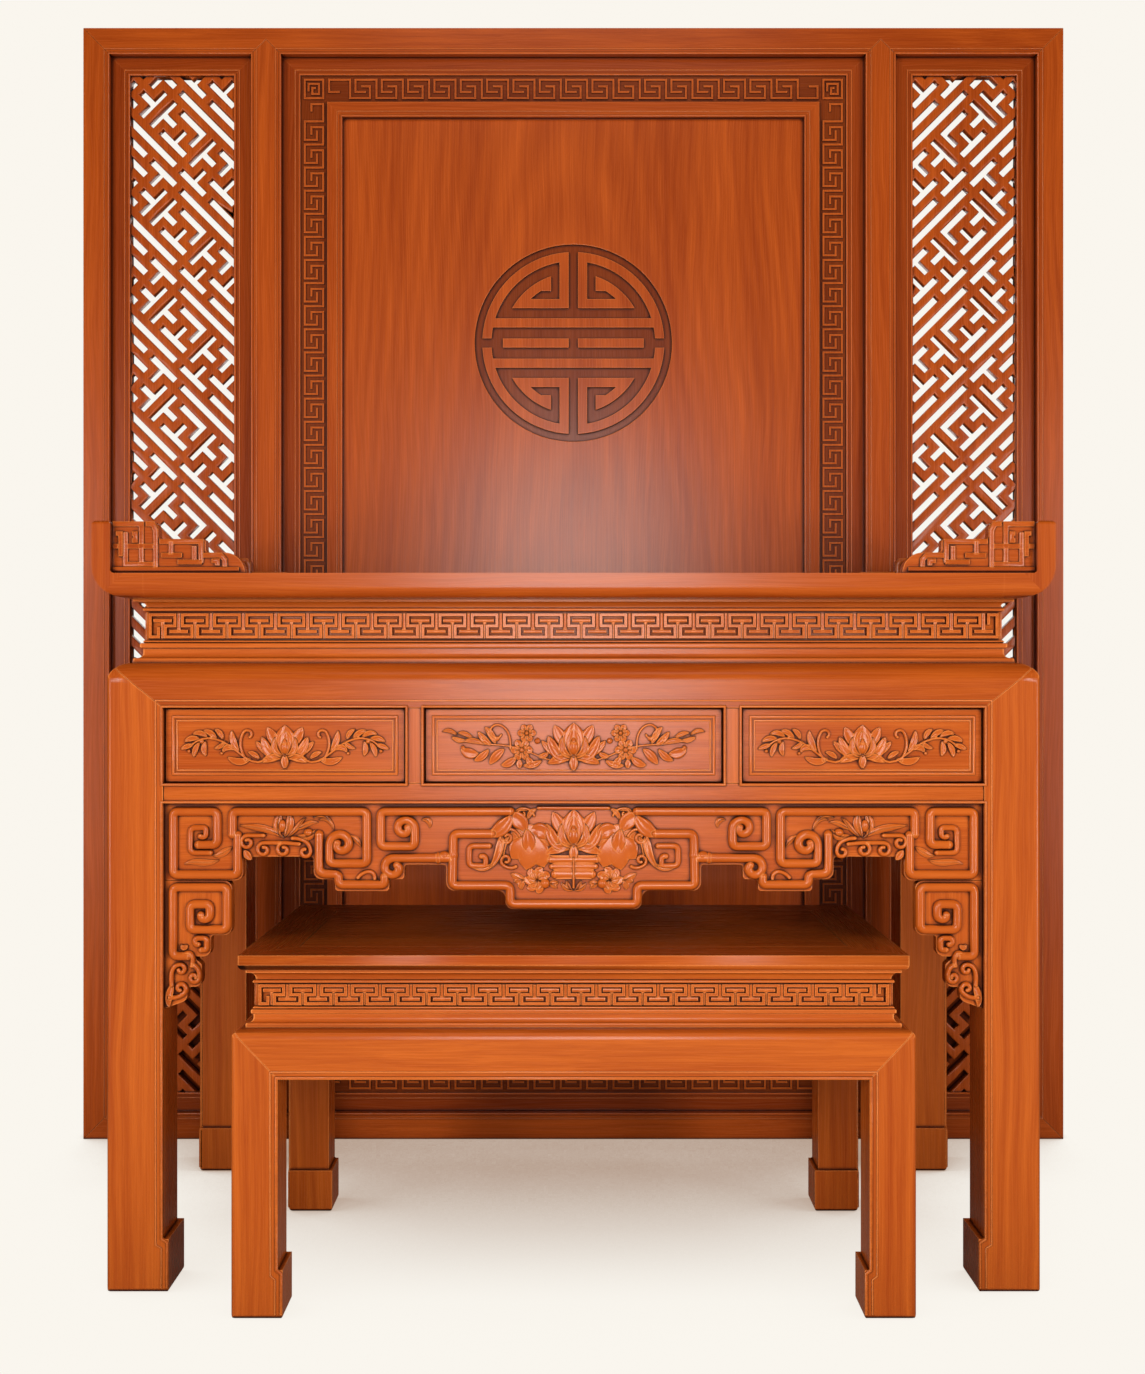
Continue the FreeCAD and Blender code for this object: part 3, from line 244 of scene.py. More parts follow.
def wood(name, grain, tones, figure=0.3, gloss=0.20, coat=0.23, ground=None, shade=0.6, hollow=1.0,
         depth=1.0, edge_light=0.7):
    """Lacquered hardwood: broad bands, flame figure, streaks, hairlines and short pores along the grain.

    The tones are the dark and the light of the grain and the painted highlight along edges. Where a carved
    ground is given, what lies deeper than it, in metres along the third way, gets painted shade. The shade
    is how much painted shade darkens places shut in by others, and the hollow how much it darkens grooves.
    The depth is how fast the grain changes along the third way, small on carving, and the edge light how
    bright the painted highlight is.
    """
    dark, light, highlight_tone = tones
    finish = Finish(name)
    along, across, deep = grain_axes(finish, grain)
    third = deep * depth

    def layer(kind, sway):
        along_rate, across_rate, sway_reach, detail, roughness = kind
        side = across * across_rate + sway * sway_reach
        return finish.noise(finish.vector(along * along_rate, side, third * across_rate), detail, roughness)

    sway = layer(SWAY, 0.0) - 0.5
    bands = layer(BANDS, sway).smooth(*BAND_RANGE)
    streaks = layer(STREAKS, sway)
    hairs = layer(HAIRS, sway)
    pores = layer(PORES, sway).smooth(*PORE_RANGE)
    ring_side = across + sway * RING_BEND
    ring_height = third * RING_FLAT + along * RING_LEAN + sway * (RING_BEND / 2)
    ring_reach = (ring_side ** 2.0 + ring_height ** 2.0) ** 0.5
    rings = (ring_reach * RING_RATE + sway * RING_SWAY).sine() * 0.5 + 0.5
    tone = bands * BAND_SHARE + streaks.smooth(*STREAK_RANGE) * STREAK_SHARE
    tone = tone + hairs.smooth(*HAIR_RANGE) * HAIR_SHARE
    tone = tone * (1.0 - figure * 0.5) + rings * streaks * figure
    # Painted shade in grooves: the colour goes towards the dark crevice colour where occlusion is close
    crevice = finish.node("ShaderNodeAmbientOcclusion", {"samples": 8}, {"Distance": CREVICE_REACH}, "AO")
    open_face = 1.0 - hollow + crevice.smooth(*CREVICE_OPEN) * hollow
    # Painted shade in places shut in by others, such as under the tables: wide occlusion darkens the colour
    recess = finish.node("ShaderNodeAmbientOcclusion", {"samples": 6}, {"Distance": RECESS_REACH}, "AO")
    # Painted highlight: a brighter tone along convex edges, where the bevelled normal turns away from the
    # surface's own
    turned = finish.node("ShaderNodeBevel", {"samples": 4}, {"Radius": RIM_REACH}, "Normal")
    level = finish.node("ShaderNodeNewGeometry", output="Normal")
    facing = finish.node("ShaderNodeVectorMath", {"operation": "DOT_PRODUCT"}, {0: turned, 1: level}, "Value")
    rim = (1.0 - facing).smooth(*RIM_TURN) * open_face
    colour = finish.blend(tone - pores * PORE_SHARE, dark, light)
    colour = finish.blend(rim * edge_light, colour, highlight_tone)
    lit = open_face * (1.0 - shade + recess.smooth(*RECESS_OPEN) * shade)
    # Painted shade on carved grounds: what lies deeper than the ground is darkened
    if ground:
        lit = lit * (1.0 - deep.smooth(ground, ground + GROUND_EDGE) * GROUND_SHADE)
    colour = finish.blend(lit, CREVICE_SHADE, colour)
    bump = finish.node("ShaderNodeBump", inputs={
        "Strength": BUMP_STRENGTH, "Distance": BUMP_DEPTH, "Height": hairs * HAIR_BUMP - pores * PORE_BUMP})
    surface = finish.node("ShaderNodeBsdfPrincipled", inputs={
        "Base Color": colour, "Roughness": gloss + hairs * HAIR_DULL + (1.0 - open_face) * CREVICE_DULL,
        "Specular IOR Level": SHEEN_LEVEL, "Coat Weight": open_face * coat, "Coat Roughness": COAT_ROUGHNESS,
        "Normal": bump})
    finish.node("ShaderNodeOutputMaterial", inputs={"Surface": surface})
    return finish.material


def low_corner(node):
    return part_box(node)[0] / MM


def high_corner(node):
    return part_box(node)[1] / MM


def corners(node):
    return low_corner(node), high_corner(node)


def span(node):
    """Middle and size of a solid, in metres."""
    low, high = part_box(node)
    return (low + high) / 2, high - low


# Mitred rings of the tables and the screen, in metres
altar_centre, altar_size = span("altar_frieze")
offering_centre, offering_size = span("offering_frieze")
screen_centre, screen_size = span("screen_band_frame")
bay_centre, bay_size = span("screen_left_lattice")
altar_middle = altar_centre.y
offering_middle = offering_centre.y
screen_middle = screen_centre.z
altar_ring = ("x", "y", 0.0, altar_middle, (altar_size.x - altar_size.y) / 2, 0.0)
offering_ring = ("x", "y", 0.0, offering_middle, (offering_size.x - offering_size.y) / 2, 0.0)
screen_ring = ("x", "z", 0.0, screen_middle, (screen_size.x - screen_size.z) / 2, 0.0)
bay_ring = ("x", "z", 0.0, screen_middle, (bay_size.x - bay_size.z) / 2, -bay_centre.x)

top_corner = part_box("altar_top_left_end")[0]
top_turn = top_corner.z - top_corner.x - TOP_TURN * MM
top_ring = ("x", "z", 0.0, FAR_ABOVE, top_turn - FAR_ABOVE, 0.0)

table_x = wood("table_wood_x", "x", TABLE_TONES)
rail_x = wood("rail_wood_x", "x", SHADED_RAIL_TONES)
top_bent = wood("top_wood_bent", top_ring, SHADED_RAIL_TONES, edge_light=0.1)
table_y = wood("table_wood_y", "y", TABLE_TONES)
carved = wood("carved_wood", "x", CARVED_TONES, figure=0.0, gloss=0.13, coat=0.32, depth=0.06)
table_z = wood("table_wood_z", "z", TABLE_TONES)
altar_round = wood("altar_wood_round", altar_ring, TABLE_TONES, figure=0.1)
offering_round = wood("offering_wood_round", offering_ring, TABLE_TONES, figure=0.1)
altar_neck = wood("altar_neck_wood", altar_ring, TABLE_TONES, figure=0.1, shade=0.1, hollow=0.35)
offering_neck = wood("offering_neck_wood", offering_ring, TABLE_TONES, figure=0.1, shade=0.1, hollow=0.35)
screen_x = wood("screen_wood_x", "x", SCREEN_TONES, coat=SCREEN_COAT)
screen_z = wood("screen_wood_z", "z", SCREEN_TONES, coat=SCREEN_COAT)
panel_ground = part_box("screen_panel")[0].y + GROUND_DEPTH * MM
border_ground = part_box("screen_fret_border")[0].y - FRET_GROUND * MM
screen_board = wood("screen_wood_board", "z", SCREEN_TONES, figure=0.35, coat=0.27, ground=panel_ground)
border_round = wood("screen_border_wood_round", screen_ring, SCREEN_TONES, figure=0.1, coat=SCREEN_COAT,
                    ground=border_ground)
screen_round = wood("screen_wood_round", screen_ring, SCREEN_TONES, figure=0.1, coat=SCREEN_COAT)
inner_round = wood("screen_inner_wood_round", screen_ring, SHADED_SCREEN_TONES, figure=0.1, coat=SCREEN_COAT)
inner_z = wood("screen_inner_wood_z", "z", SHADED_SCREEN_TONES, figure=0.1, coat=SCREEN_COAT)
bay_round = wood("bay_wood_round", bay_ring, SHADED_SCREEN_TONES, figure=0.1, coat=SCREEN_COAT)
lining = wood("lining_wood", "y", LINING_TONES, figure=0.2, gloss=0.6, coat=0.0)

# Finish of each solid, by the start of its name; the longest match counts
NODE_FINISHES = {
    "altar": table_x,
    "altar_leg": table_z,
    "altar_side": table_y,
    "altar_neck": altar_neck,
    "altar_frieze": altar_round,
    "altar_base": altar_round,
    "altar_lower_rails": altar_round,
    "altar_case": altar_round,
    "altar_drawer_posts": table_z,
    "altar_drawer_runners": lining,
    "altar_left_spandrel": table_z,
    "altar_right_spandrel": table_z,
    "altar_top": top_bent,
    "altar_front_rail": rail_x,
    "altar_top_battens": lining,
    "scroll": rail_x,
    "drawer": table_x,
    "offering": offering_round,
    "offering_neck": offering_neck,
    "offering_base": offering_neck,
    "offering_leg": table_z,
    "offering_top_panel": table_x,
    "offering_top_battens": lining,
    "screen": screen_x,
    "screen_left": screen_z,
    "screen_right": screen_z,
    "screen_mullions": screen_z,
    "screen_lattice_frames": bay_round,
    "screen_left_lattice": inner_z,
    "screen_right_lattice": inner_z,
    "screen_band": inner_round,
    "screen_fret": border_round,
    "screen_panel_moulding": screen_round,
    "screen_panel": screen_board,
    "screen_medallion": screen_board,
    "screen_battens": lining,
}


def finish_of(name):
    if name.startswith("drawer") and name.endswith("box"):
        return lining
    return NODE_FINISHES[max((start for start in NODE_FINISHES if name.startswith(start)), key=len)]


def soften(piece, width):
    """Softened edges on a solid, or on a piece made from one."""
    weld = piece.modifiers.new("weld", "WELD")
    weld.merge_threshold = WELD_REACH * MM
    flat = piece.modifiers.new("flat", "DECIMATE")
    flat.decimate_type = "DISSOLVE"
    flat.angle_limit = FLAT_ANGLE
    if width:
        edges = piece.modifiers.new("edges", "BEVEL")
        edges.width = width * MM
        edges.segments = SOFT_STEPS
        edges.limit_method = "ANGLE"
        edges.angle_limit = EDGE_ANGLE
    else:
        edges = piece.modifiers.new("edges", "EDGE_SPLIT")
        edges.split_angle = EDGE_ANGLE
    piece.modifiers.new("shade", "WEIGHTED_NORMAL")


def softening_of(name):
    """Width of a solid's softened edges; moulded rings and the bent top keep the edges of their profile."""
    if name.startswith("altar_top") or name.endswith(("neck_moulding", "base_moulding")):
        return 0.0
    return EDGE_SOFTENING


def dress_solids():
    """Gives every solid its wood and softened edges."""
    for name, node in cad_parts.items():
        if not node.material_slots:
            node.data.materials.append(None)
        for slot in node.material_slots:
            slot.material = finish_of(name)
        soften(node, softening_of(name))


dress_solids()


def make_piece(name, drawing, wood_finish, body):
    """Makes a piece of what is drawn and fixes it on its body."""
    for side in drawing.faces:
        side.smooth = True
    shape = bpy.data.meshes.new(name)
    drawing.to_mesh(shape)
    drawing.free()
    shape.set_sharp_from_angle(angle=SHARP_ANGLE)
    shape.materials.append(wood_finish)
    piece = bpy.data.objects.new(name, shape)
    bpy.context.scene.collection.objects.link(piece)
    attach(piece, body)
    return piece


# Rounded bars of the lattices: how far each step goes in from the edge and how far out from the plate
LATTICE_STEPS = ((1.6, 1.7), (3.2, 1.0))
LATTICE_PROUD = sum(height for width, height in LATTICE_STEPS)
PLATE_FACING = 0.99
BACK_BOARD = 5.0
BACK_BOARD_TOP = 900.0
BACK_BOARD_SOFTENING = 0.8


def lattice_bars(name):
    """A lattice with rounded bars, in place of its plain solid."""
    bars = bmesh.new()
    bars.from_mesh(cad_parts[name].data)
    bmesh.ops.remove_doubles(bars, verts=bars.verts, dist=SEAM * MM)
    for way in (-1, 1):
        plate = [side for side in bars.faces if side.normal.y * way > PLATE_FACING]
        for width, height in LATTICE_STEPS:
            bmesh.ops.inset_region(bars, faces=plate, thickness=width * MM, depth=height * MM,
                                   use_boundary=True)
    piece = make_piece(name + "_bars", bars, screen_z, "altar")
    shade = piece.modifiers.new("shade", "WEIGHTED_NORMAL")
    shade.keep_sharp = True
    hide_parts(name)


def lattice_back(name):
    """The board that closes the lower part of a lattice from behind."""
    low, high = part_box(name)
    middle = (low + high) / 2
    size = Vector((high.x - low.x, BACK_BOARD * MM, BACK_BOARD_TOP * MM - low.z))
    place = Vector((middle.x, high.y + (LATTICE_PROUD + BACK_BOARD / 2) * MM, low.z + size.z / 2))
    board = bmesh.new()
    bmesh.ops.create_cube(board, size=1, matrix=Matrix.Translation(place) @ Matrix.Diagonal((*size, 1)))
    bmesh.ops.bevel(board, geom=board.edges, offset=BACK_BOARD_SOFTENING * MM, affect="EDGES", segments=2,
                    profile=0.5, material=-1)
    make_piece(name + "_back", board, inner_z, "altar")


for lattice in ("screen_left_lattice", "screen_right_lattice"):
    lattice_bars(lattice)
    lattice_back(lattice)


def rounded_foot(name, body, middle_y):
    """A leg whose foot is rounded underneath on its inner sides too, in place of its plain solid."""
    leg = bmesh.new()
    leg.from_mesh(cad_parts[name].data)
    bmesh.ops.remove_doubles(leg, verts=leg.verts, dist=SEAM * MM)
    radius = FOOT_ROUNDING * MM
    low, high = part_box(name)
    for axis, middle in ((0, 0.0), (1, middle_y)):
        inward = 1 if high[axis] < middle else -1
        pivot = Vector((0, 0, radius))
        pivot[axis] = (high[axis] if inward > 0 else low[axis]) - inward * radius
        for step in range(1, FOOT_STEPS):
            angle = math.pi / 2 * step / FOOT_STEPS
            away = Vector((0, 0, -math.sin(angle)))
            away[axis] = inward * math.cos(angle)
            cut = bmesh.ops.bisect_plane(leg, geom=[*leg.verts, *leg.edges, *leg.faces],
                                         plane_co=pivot + away * radius, plane_no=away, clear_outer=True)
            rim = [item for item in cut["geom_cut"] if isinstance(item, bmesh.types.BMEdge)]
            bmesh.ops.contextual_create(leg, geom=rim)
    bmesh.ops.recalc_face_normals(leg, faces=leg.faces)
    piece = make_piece(name + "_rounded", leg, table_z, body)
    soften(piece, EDGE_SOFTENING)
    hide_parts(name)


for leg_place in ("front_left", "front_right", "back_left", "back_right"):
    rounded_foot("altar_leg_" + leg_place, "altar", altar_middle)
    rounded_foot("offering_leg_" + leg_place, "offering_table", offering_middle)


# Faces that carry mouldings and carving: the way to the right and the way out, seen from outside
FRONT = ((1, 0, 0), (0, -1, 0))
LEFT = ((0, -1, 0), (-1, 0, 0))
BACK = ((-1, 0, 0), (0, 1, 0))
RIGHT = ((0, 1, 0), (1, 0, 0))
LEVEL = ((1, 0, 0), (0, 0, 1))
MIRROR = Matrix.Diagonal((-1, 1, 1, 1))

# Sections of what is swept, as (across, out) in shares of the half width and the height
HALF_TURN_STEPS = 8
ROUND = [(math.cos(math.pi * step / HALF_TURN_STEPS), math.sin(math.pi * step / HALF_TURN_STEPS))
         for step in range(HALF_TURN_STEPS + 1)] + [(-1, -0.4), (1, -0.4)]
STRAP = [(1, -0.5), (1, 0.7), (0.72, 1), (-0.72, 1), (-1, 0.7), (-1, -0.5)]
PETAL = [(1, -0.3), (1, 0.45), (0.86, 0.9), (0.66, 1), (0.34, 0.76), (0, 0.66),
         (-0.34, 0.76), (-0.66, 1), (-0.86, 0.9), (-1, 0.45), (-1, -0.3)]
LEAF = [(1, -0.3), (1, 0.3), (0.6, 0.62), (0.16, 0.66), (0, 1),
        (-0.16, 0.66), (-0.6, 0.62), (-1, 0.3), (-1, -0.3)]
PAD = [(1, -0.3), (1, 0.5), (0.88, 0.85), (0.6, 1), (-0.6, 1), (-0.88, 0.85), (-1, 0.5), (-1, -0.3)]

# Relief sizes
TUBE = 8.5
TUBE_HEIGHT = 9.0
TUBE_CORNER = 10.0
ARC_STEPS = 6
BEND_STEPS = 12
CURL_STEP = math.radians(15)
MITRE_LIMIT = 0.35


def face(sides, origin):
    """Millimetres on a face (right, up, out) to the frame's metres."""
    right = Vector(sides[0])
    out = Vector(sides[1])
    turn = Matrix((right, out.cross(right), out)).transposed().to_4x4()
    return Matrix.Diagonal((MM, MM, MM, 1)) @ Matrix.Translation(origin) @ turn


def at(value, share):
    return value(share) if callable(value) else value


def rounded(corners, radius=TUBE_CORNER):
    """A path through the corners, each turned in a bend of up to this radius."""
    corners = [Vector(corner) for corner in corners]
    path = [corners[0]]
    for before, corner, after in zip(corners, corners[1:], corners[2:]):
        reach = min(radius, (corner - before).length / 2.02, (after - corner).length / 2.02)
        start = corner + (before - corner).normalized() * reach
        end = corner + (after - corner).normalized() * reach
        for step in range(ARC_STEPS + 1):
            share = step / ARC_STEPS
            path.append(start.lerp(corner, share).lerp(corner.lerp(end, share), share))
    path.append(corners[-1])
    return path


def bend(*controls):
    """A smooth path from the first control to the last, drawn towards those between."""
    path = []
    for step in range(BEND_STEPS + 1):
        level = [Vector(control) for control in controls]
        while len(level) > 1:
            level = [first.lerp(second, step / BEND_STEPS) for first, second in zip(level, level[1:])]
        path.append(level[0])
    return path


def curl(path, radius, end_radius, turn):
    """The path carried on in a spiral; a positive turn goes to the left."""
    ahead = path[-1] - path[-2]
    heading = math.atan2(ahead.y, ahead.x)
    steps = math.ceil(abs(math.radians(turn)) / CURL_STEP)
    step_turn = math.radians(turn) / steps
    spiral = list(path)
    for step in range(steps):
        heading += step_turn / 2
        reach = (radius + (end_radius - radius) * step / steps) * abs(step_turn)
        spiral.append(spiral[-1] + Vector((math.cos(heading), math.sin(heading))) * reach)
        heading += step_turn / 2
    return spiral


def spread(widest):
    """Width along a petal, as a share of its widest, which lies at this share of its length."""
    skew = math.log(0.5) / math.log(widest)
    return lambda share: 0.05 + 0.95 * math.sin(math.pi * share ** skew) ** 0.75


def rectangle(low, high):
    return [Vector(low), Vector((high[0], low[1])), Vector(high), Vector((low[0], high[1]))]


class Relief:
    """Moulding or carving under construction, drawn in millimetres on a face."""

    def __init__(self, sides=FRONT, origin=(0, 0, 0)):
        self.mesh = bmesh.new()
        self.face = face(sides, origin)

    def turn_to(self, sides, origin):
        self.face = face(sides, origin)

    def mirror(self):
        self.face = self.face @ MIRROR

    def add(self, part):
        """Takes over the shape of a part that is drawn on its own."""
        bmesh.ops.recalc_face_normals(part, faces=part.faces)
        shape = bpy.data.meshes.new("part")
        part.to_mesh(shape)
        part.free()
        self.mesh.from_mesh(shape)
        bpy.data.meshes.remove(shape)

    def stations(self, path, half_width, height, closed):
        """The place of the section at each point of the path, mitred at corners."""
        lengths = [0.0]
        for first, second in zip(path, path[1:]):
            lengths.append(lengths[-1] + (second - first).length)
        ends = (path[-1], path[0]) if closed else (2 * path[0] - path[1], 2 * path[-1] - path[-2])
        line = [ends[0], *path, ends[1]]
        stations = []
        for before, point, after, length in zip(line, line[1:], line[2:], lengths):
            leaving = (after - point).normalized()
            along = ((point - before).normalized() + leaving).normalized()
            share = length / lengths[-1]
            width = at(half_width, share) / max(along.dot(leaving), MITRE_LIMIT)
            stations.append(self.face @ Matrix((
                (along.y * width, 0, along.x, point.x),
                (-along.x * width, 0, along.y, point.y),
                (0, at(height, share), 0, 0),
                (0, 0, 0, 1))))
        return stations + stations[:1] if closed else stations

    def sweep(self, path, section, half_width, height, closed=False):
        stations = self.stations(path, half_width, height, closed)
        part = bmesh.new()
        cap = part.faces.new([part.verts.new(stations[0] @ Vector((*corner, 0))) for corner in section])
        start = cap
        for last, station in zip(stations, stations[1:]):
            grown = bmesh.ops.extrude_face_region(part, geom=[cap])["geom"]
            if cap is not start:
                bmesh.ops.delete(part, geom=[cap], context="FACES_ONLY")
            cap = next(item for item in grown if isinstance(item, bmesh.types.BMFace))
            bmesh.ops.transform(part, matrix=station @ last.inverted(), verts=cap.verts)
        if closed:
            seam = list(start.verts) + list(cap.verts)
            bmesh.ops.delete(part, geom=[start, cap], context="FACES_ONLY")
            bmesh.ops.remove_doubles(part, verts=seam, dist=SEAM * MM)
        self.add(part)

    def ball(self, place, reach, height):
        """A low round knob; the reach is its half size across and upwards."""
        part = bmesh.new()
        shape = Matrix.Translation((*place, 0)) @ Matrix.Diagonal((*reach, height, 1))
        bmesh.ops.create_uvsphere(part, u_segments=14, v_segments=9, radius=1, matrix=self.face @ shape)
        self.add(part)

    def tube(self, path, half_width=TUBE, height=TUBE_HEIGHT):
        self.sweep(path, ROUND, half_width, height)
        for end in (path[0], path[-1]):
            self.ball(end, (half_width, half_width), height)

    def petal(self, path, half_width, height, widest=0.5, section=PETAL):
        width = spread(widest)
        self.sweep(path, section, lambda share: half_width * width(share),
                   lambda share: height * (0.35 + 0.65 * math.sin(math.pi * (0.12 + 0.8 * share))))

    def finish(self, name, wood_finish, body, slot="lacquered_hardwood"):
        make_piece(name, self.mesh, wood_finish, body)


# Key fret: one period of its strap and of the two T shapes between, in shares of period and height
KEY_STRAP = [(0, 1), (0.77, 1), (0.77, 0.5), (0.47, 0.5), (0.47, 0), (1.30, 0), (1.30, 0.5), (1.0, 0.5)]
KEY_START = [(0.26, 0.44), (0.26, 0), (0, 0)]
KEY_END = [(0.30, 1), (0.04, 1), (0.04, 0.56)]
KEY_OVERRUN = 0.30
KEY_TEES = [((0.385, -0.06), (0.385, 0.74), 2.0), ((0.10, 0.74), (0.67, 0.74), 2.4),
            ((0.885, 1.06), (0.885, 0.25), 2.0), ((0.60, 0.25), (1.17, 0.25), 2.4)]
KEY_STRAP_WIDTH = 6.2
KEY_STRAP_HEIGHT = 3.6
KEY_TEE_WIDTH = 6.4
FRET_END = 14.0
STRIP = [(-0.6, -1), (0.15, -1), (0.62, -0.78), (0.92, -0.38), (1, 0),
         (0.92, 0.38), (0.62, 0.78), (0.15, 1), (-0.6, 1)]


def key_fret(relief, length, height, count):
    """A running key fret along the face, its middle at the face's own middle."""
    period = length / (count + KEY_OVERRUN)
    low = Vector((-length / 2, -height / 2))

    def place(index, along, up):
        return low + Vector(((index + along) * period, up * height))

    path = [place(0, along, up) for along, up in KEY_START]
    for index in range(count):
        path += [place(index, along, up) for along, up in KEY_STRAP]
    path[-1:] = [place(count, along, up) for along, up in KEY_END]
    relief.sweep(path, STRAP, KEY_STRAP_WIDTH / 2, KEY_STRAP_HEIGHT)
    for index in range(count):
        for start, end, strap_height in KEY_TEES:
            relief.sweep([place(index, *start), place(index, *end)], STRAP, KEY_TEE_WIDTH / 2, strap_height)


def four_sides(low, high, level):
    """Each upright side of a box as its sides, its middle at the level and its length."""
    middle = (low + high) / 2
    size = high - low
    return [(FRONT, (middle.x, low.y, level), size.x), (LEFT, (low.x, middle.y, level), size.y),
            (BACK, (middle.x, high.y, level), size.x), (RIGHT, (high.x, middle.y, level), size.y)]


def waist(name, wood_finish, body, key_counts, key_height, key_drop, strips):
    """Key fret on a table's frieze, and the strips that run round it.

    The counts are the keys along the front and along a side, and the drop how far the fret's middle is
    below the frieze's. The upper and the lower strip are each how far the strip's middle is from the
    frieze's edge, its half height and how far it stands out.
    """
    low, high = corners(name + "_frieze")
    fret = Relief()
    level = (low.z + high.z) / 2 - key_drop
    for (sides, origin, length), count in zip(four_sides(low, high, level), key_counts * 2):
        fret.turn_to(sides, origin)
        key_fret(fret, length - FRET_END, key_height, count)
    fret.finish(name + "_key_fret", wood_finish, body)
    strip_relief = Relief()
    for (inset, half_height, reach), edge, way in zip(strips, (high.z, low.z), (-1, 1)):
        strip_relief.turn_to(LEVEL, (0, 0, edge + way * inset))
        strip_relief.sweep(rectangle(low.xy, high.xy), STRIP, reach, half_height, closed=True)
    strip_relief.finish(name + "_waist_beads", wood_finish, body)


waist("altar", altar_round, "altar", key_counts=(26, 12), key_height=40, key_drop=0.5,
      strips=((2.5, 3.8, 5.5), (2.5, 3.2, 5.0)))
waist("offering", offering_round, "offering_table", key_counts=(20, 11), key_height=31, key_drop=0.2,
      strips=((2.0, 3.4, 5.0), (2.0, 3.0, 4.6)))


# Beads and lines along the inner edges of the leg frames
ALTAR_LEG = 100.0
ALTAR_FOOT = (95.0, 10.0)
OFFERING_LEG = 80.0
OFFERING_FOOT = (84.0, 8.0)
EDGE_BEAD = 2.7
EDGE_BEAD_HEIGHT = 2.6
LINE_BEAD = 1.5
LINE_BEAD_HEIGHT = 1.3
LINE_OFFSET = 13.0
DRAWER_GAP = 2.0
RAIL_SETBACK = 2.0
FOOT_CLEAR = 9.0
NOTCH = 3.0


def leg_line(relief, half_span, foot, high, offset, half_width, height):
    """A bead up one foot and leg, along the rail and down the other leg, beside their inner edges.

    A foot is its height and how far it stands out from the leg.
    """
    foot_high, foot_proud = foot
    inner = half_span + offset
    turn = foot_high - offset
    side = [Vector((inner - foot_proud, FOOT_CLEAR)), Vector((inner - foot_proud, turn - NOTCH)),
            Vector((inner, turn + NOTCH)), Vector((inner, high + offset))]
    path = [Vector((-point.x, point.y)) for point in side] + side[::-1]
    relief.sweep(path, ROUND, half_width, height)


def altar_beads():
    low = low_corner("altar_leg_front_left")
    high = high_corner("altar_leg_back_right")
    rail_low = low_corner("altar_front_rail").z
    opening_low = high_corner("altar_drawer_rail").z
    apron_high = low_corner("altar_drawer_rail").z
    front_bays = [(low_corner(front).x - DRAWER_GAP, high_corner(front).x + DRAWER_GAP)
                  for front in ("drawer_left_front", "drawer_center_front", "drawer_right_front")]
    relief = Relief()
    for sides, origin, length in four_sides(low, high, 0):
        relief.turn_to(sides, origin)
        inner = length / 2 - ALTAR_LEG
        leg_line(relief, inner, ALTAR_FOOT, rail_low, LINE_OFFSET, LINE_BEAD, LINE_BEAD_HEIGHT)
        relief.face = relief.face @ Matrix.Translation((0, 0, -RAIL_SETBACK))
        proud = EDGE_BEAD_HEIGHT + RAIL_SETBACK
        leg_line(relief, inner, ALTAR_FOOT, apron_high, EDGE_BEAD, EDGE_BEAD, proud)
        bays = front_bays if sides == FRONT else [(-inner, inner)]
        for start, end in bays:
            ring = rectangle((start - EDGE_BEAD, opening_low - EDGE_BEAD),
                             (end + EDGE_BEAD, rail_low + EDGE_BEAD))
            relief.sweep(ring, ROUND, EDGE_BEAD, proud, closed=True)
    relief.finish("altar_edge_beads", table_x, "altar")


def offering_beads():
    low = low_corner("offering_leg_front_left")
    high = high_corner("offering_leg_back_right")
    rail_low = low_corner("offering_rails").z
    relief = Relief()
    for sides, origin, length in four_sides(low, high, 0):
        relief.turn_to(sides, origin)
        inner = length / 2 - OFFERING_LEG
        leg_line(relief, inner, OFFERING_FOOT, rail_low, LINE_OFFSET, LINE_BEAD, LINE_BEAD_HEIGHT)
        leg_line(relief, inner, OFFERING_FOOT, rail_low, EDGE_BEAD, EDGE_BEAD, EDGE_BEAD_HEIGHT)
    relief.finish("offering_edge_beads", table_x, "offering_table")


altar_beads()
offering_beads()


# Drawer fronts
PANEL_INSET = 14.0
PANEL_LINE_INSET = 20.5
LEAF_HEIGHT = 4.4


def lotus(relief, middle, size, spreading=False):
    """An open lotus seen from the side, its bud at the middle; size 1 is the one on the apron."""

    def place(u, v):
        return (middle[0] + u * size, middle[1] + v * size)

    def petal(controls, half_width, height, widest=0.5):
        for side in (-1, 1):
            path = bend(*(place(side * u, v) for u, v in controls))
            relief.petal(path, half_width * size, height, widest)

    root = (0, -22)
    if spreading:
        petal([(8, -18), (44, -12), (61, 13)], 9, 4.4, 0.55)
    petal([(6, -16), (22, 12), (37, 42)], 12, 3.6, 0.62)
    relief.petal(bend(place(0, -26), place(0, 46)), 23 * size, 4.6, 0.55)
    relief.petal(bend(place(0, -22), place(0, 34)), 16 * size, 5.8, 0.55)
    petal([root, (36, -24), (38, 0), (49, 22)], 11.5, 6.0, 0.55)
    petal([(0, -20), (26, -14), (23, 4), (21, 22)], 8, 7.0, 0.5)
    petal([(2, -20), (26, -18), (50, -32)], 9.5, 6.0, 0.5)
    relief.petal(bend(place(0, -14), place(0, -46)), 9 * size, 6.4, 0.5)
    relief.ball(place(0, 0), (12 * size, 16 * size), 9.0)
    relief.ball(place(0, 10), (6 * size, 10 * size), 8.6)


def blossom(relief, middle, radius, petals=6):
    """A round many-petalled flower: two rings of petals round a ball."""
    for ring, reach, height in ((0, 1.0, 3.4), (1, 0.66, 4.8)):
        for index in range(petals):
            angle = 2 * math.pi * (index + ring / 2) / petals
            away = Vector((math.cos(angle), math.sin(angle)))
            start = Vector(middle) + away * radius * 0.1
            tip = Vector(middle) + away * radius * reach
            relief.petal(bend(start, tip), radius * 0.36 * reach, height, 0.62)
    relief.ball(middle, (radius * 0.26, radius * 0.26), 5.8)


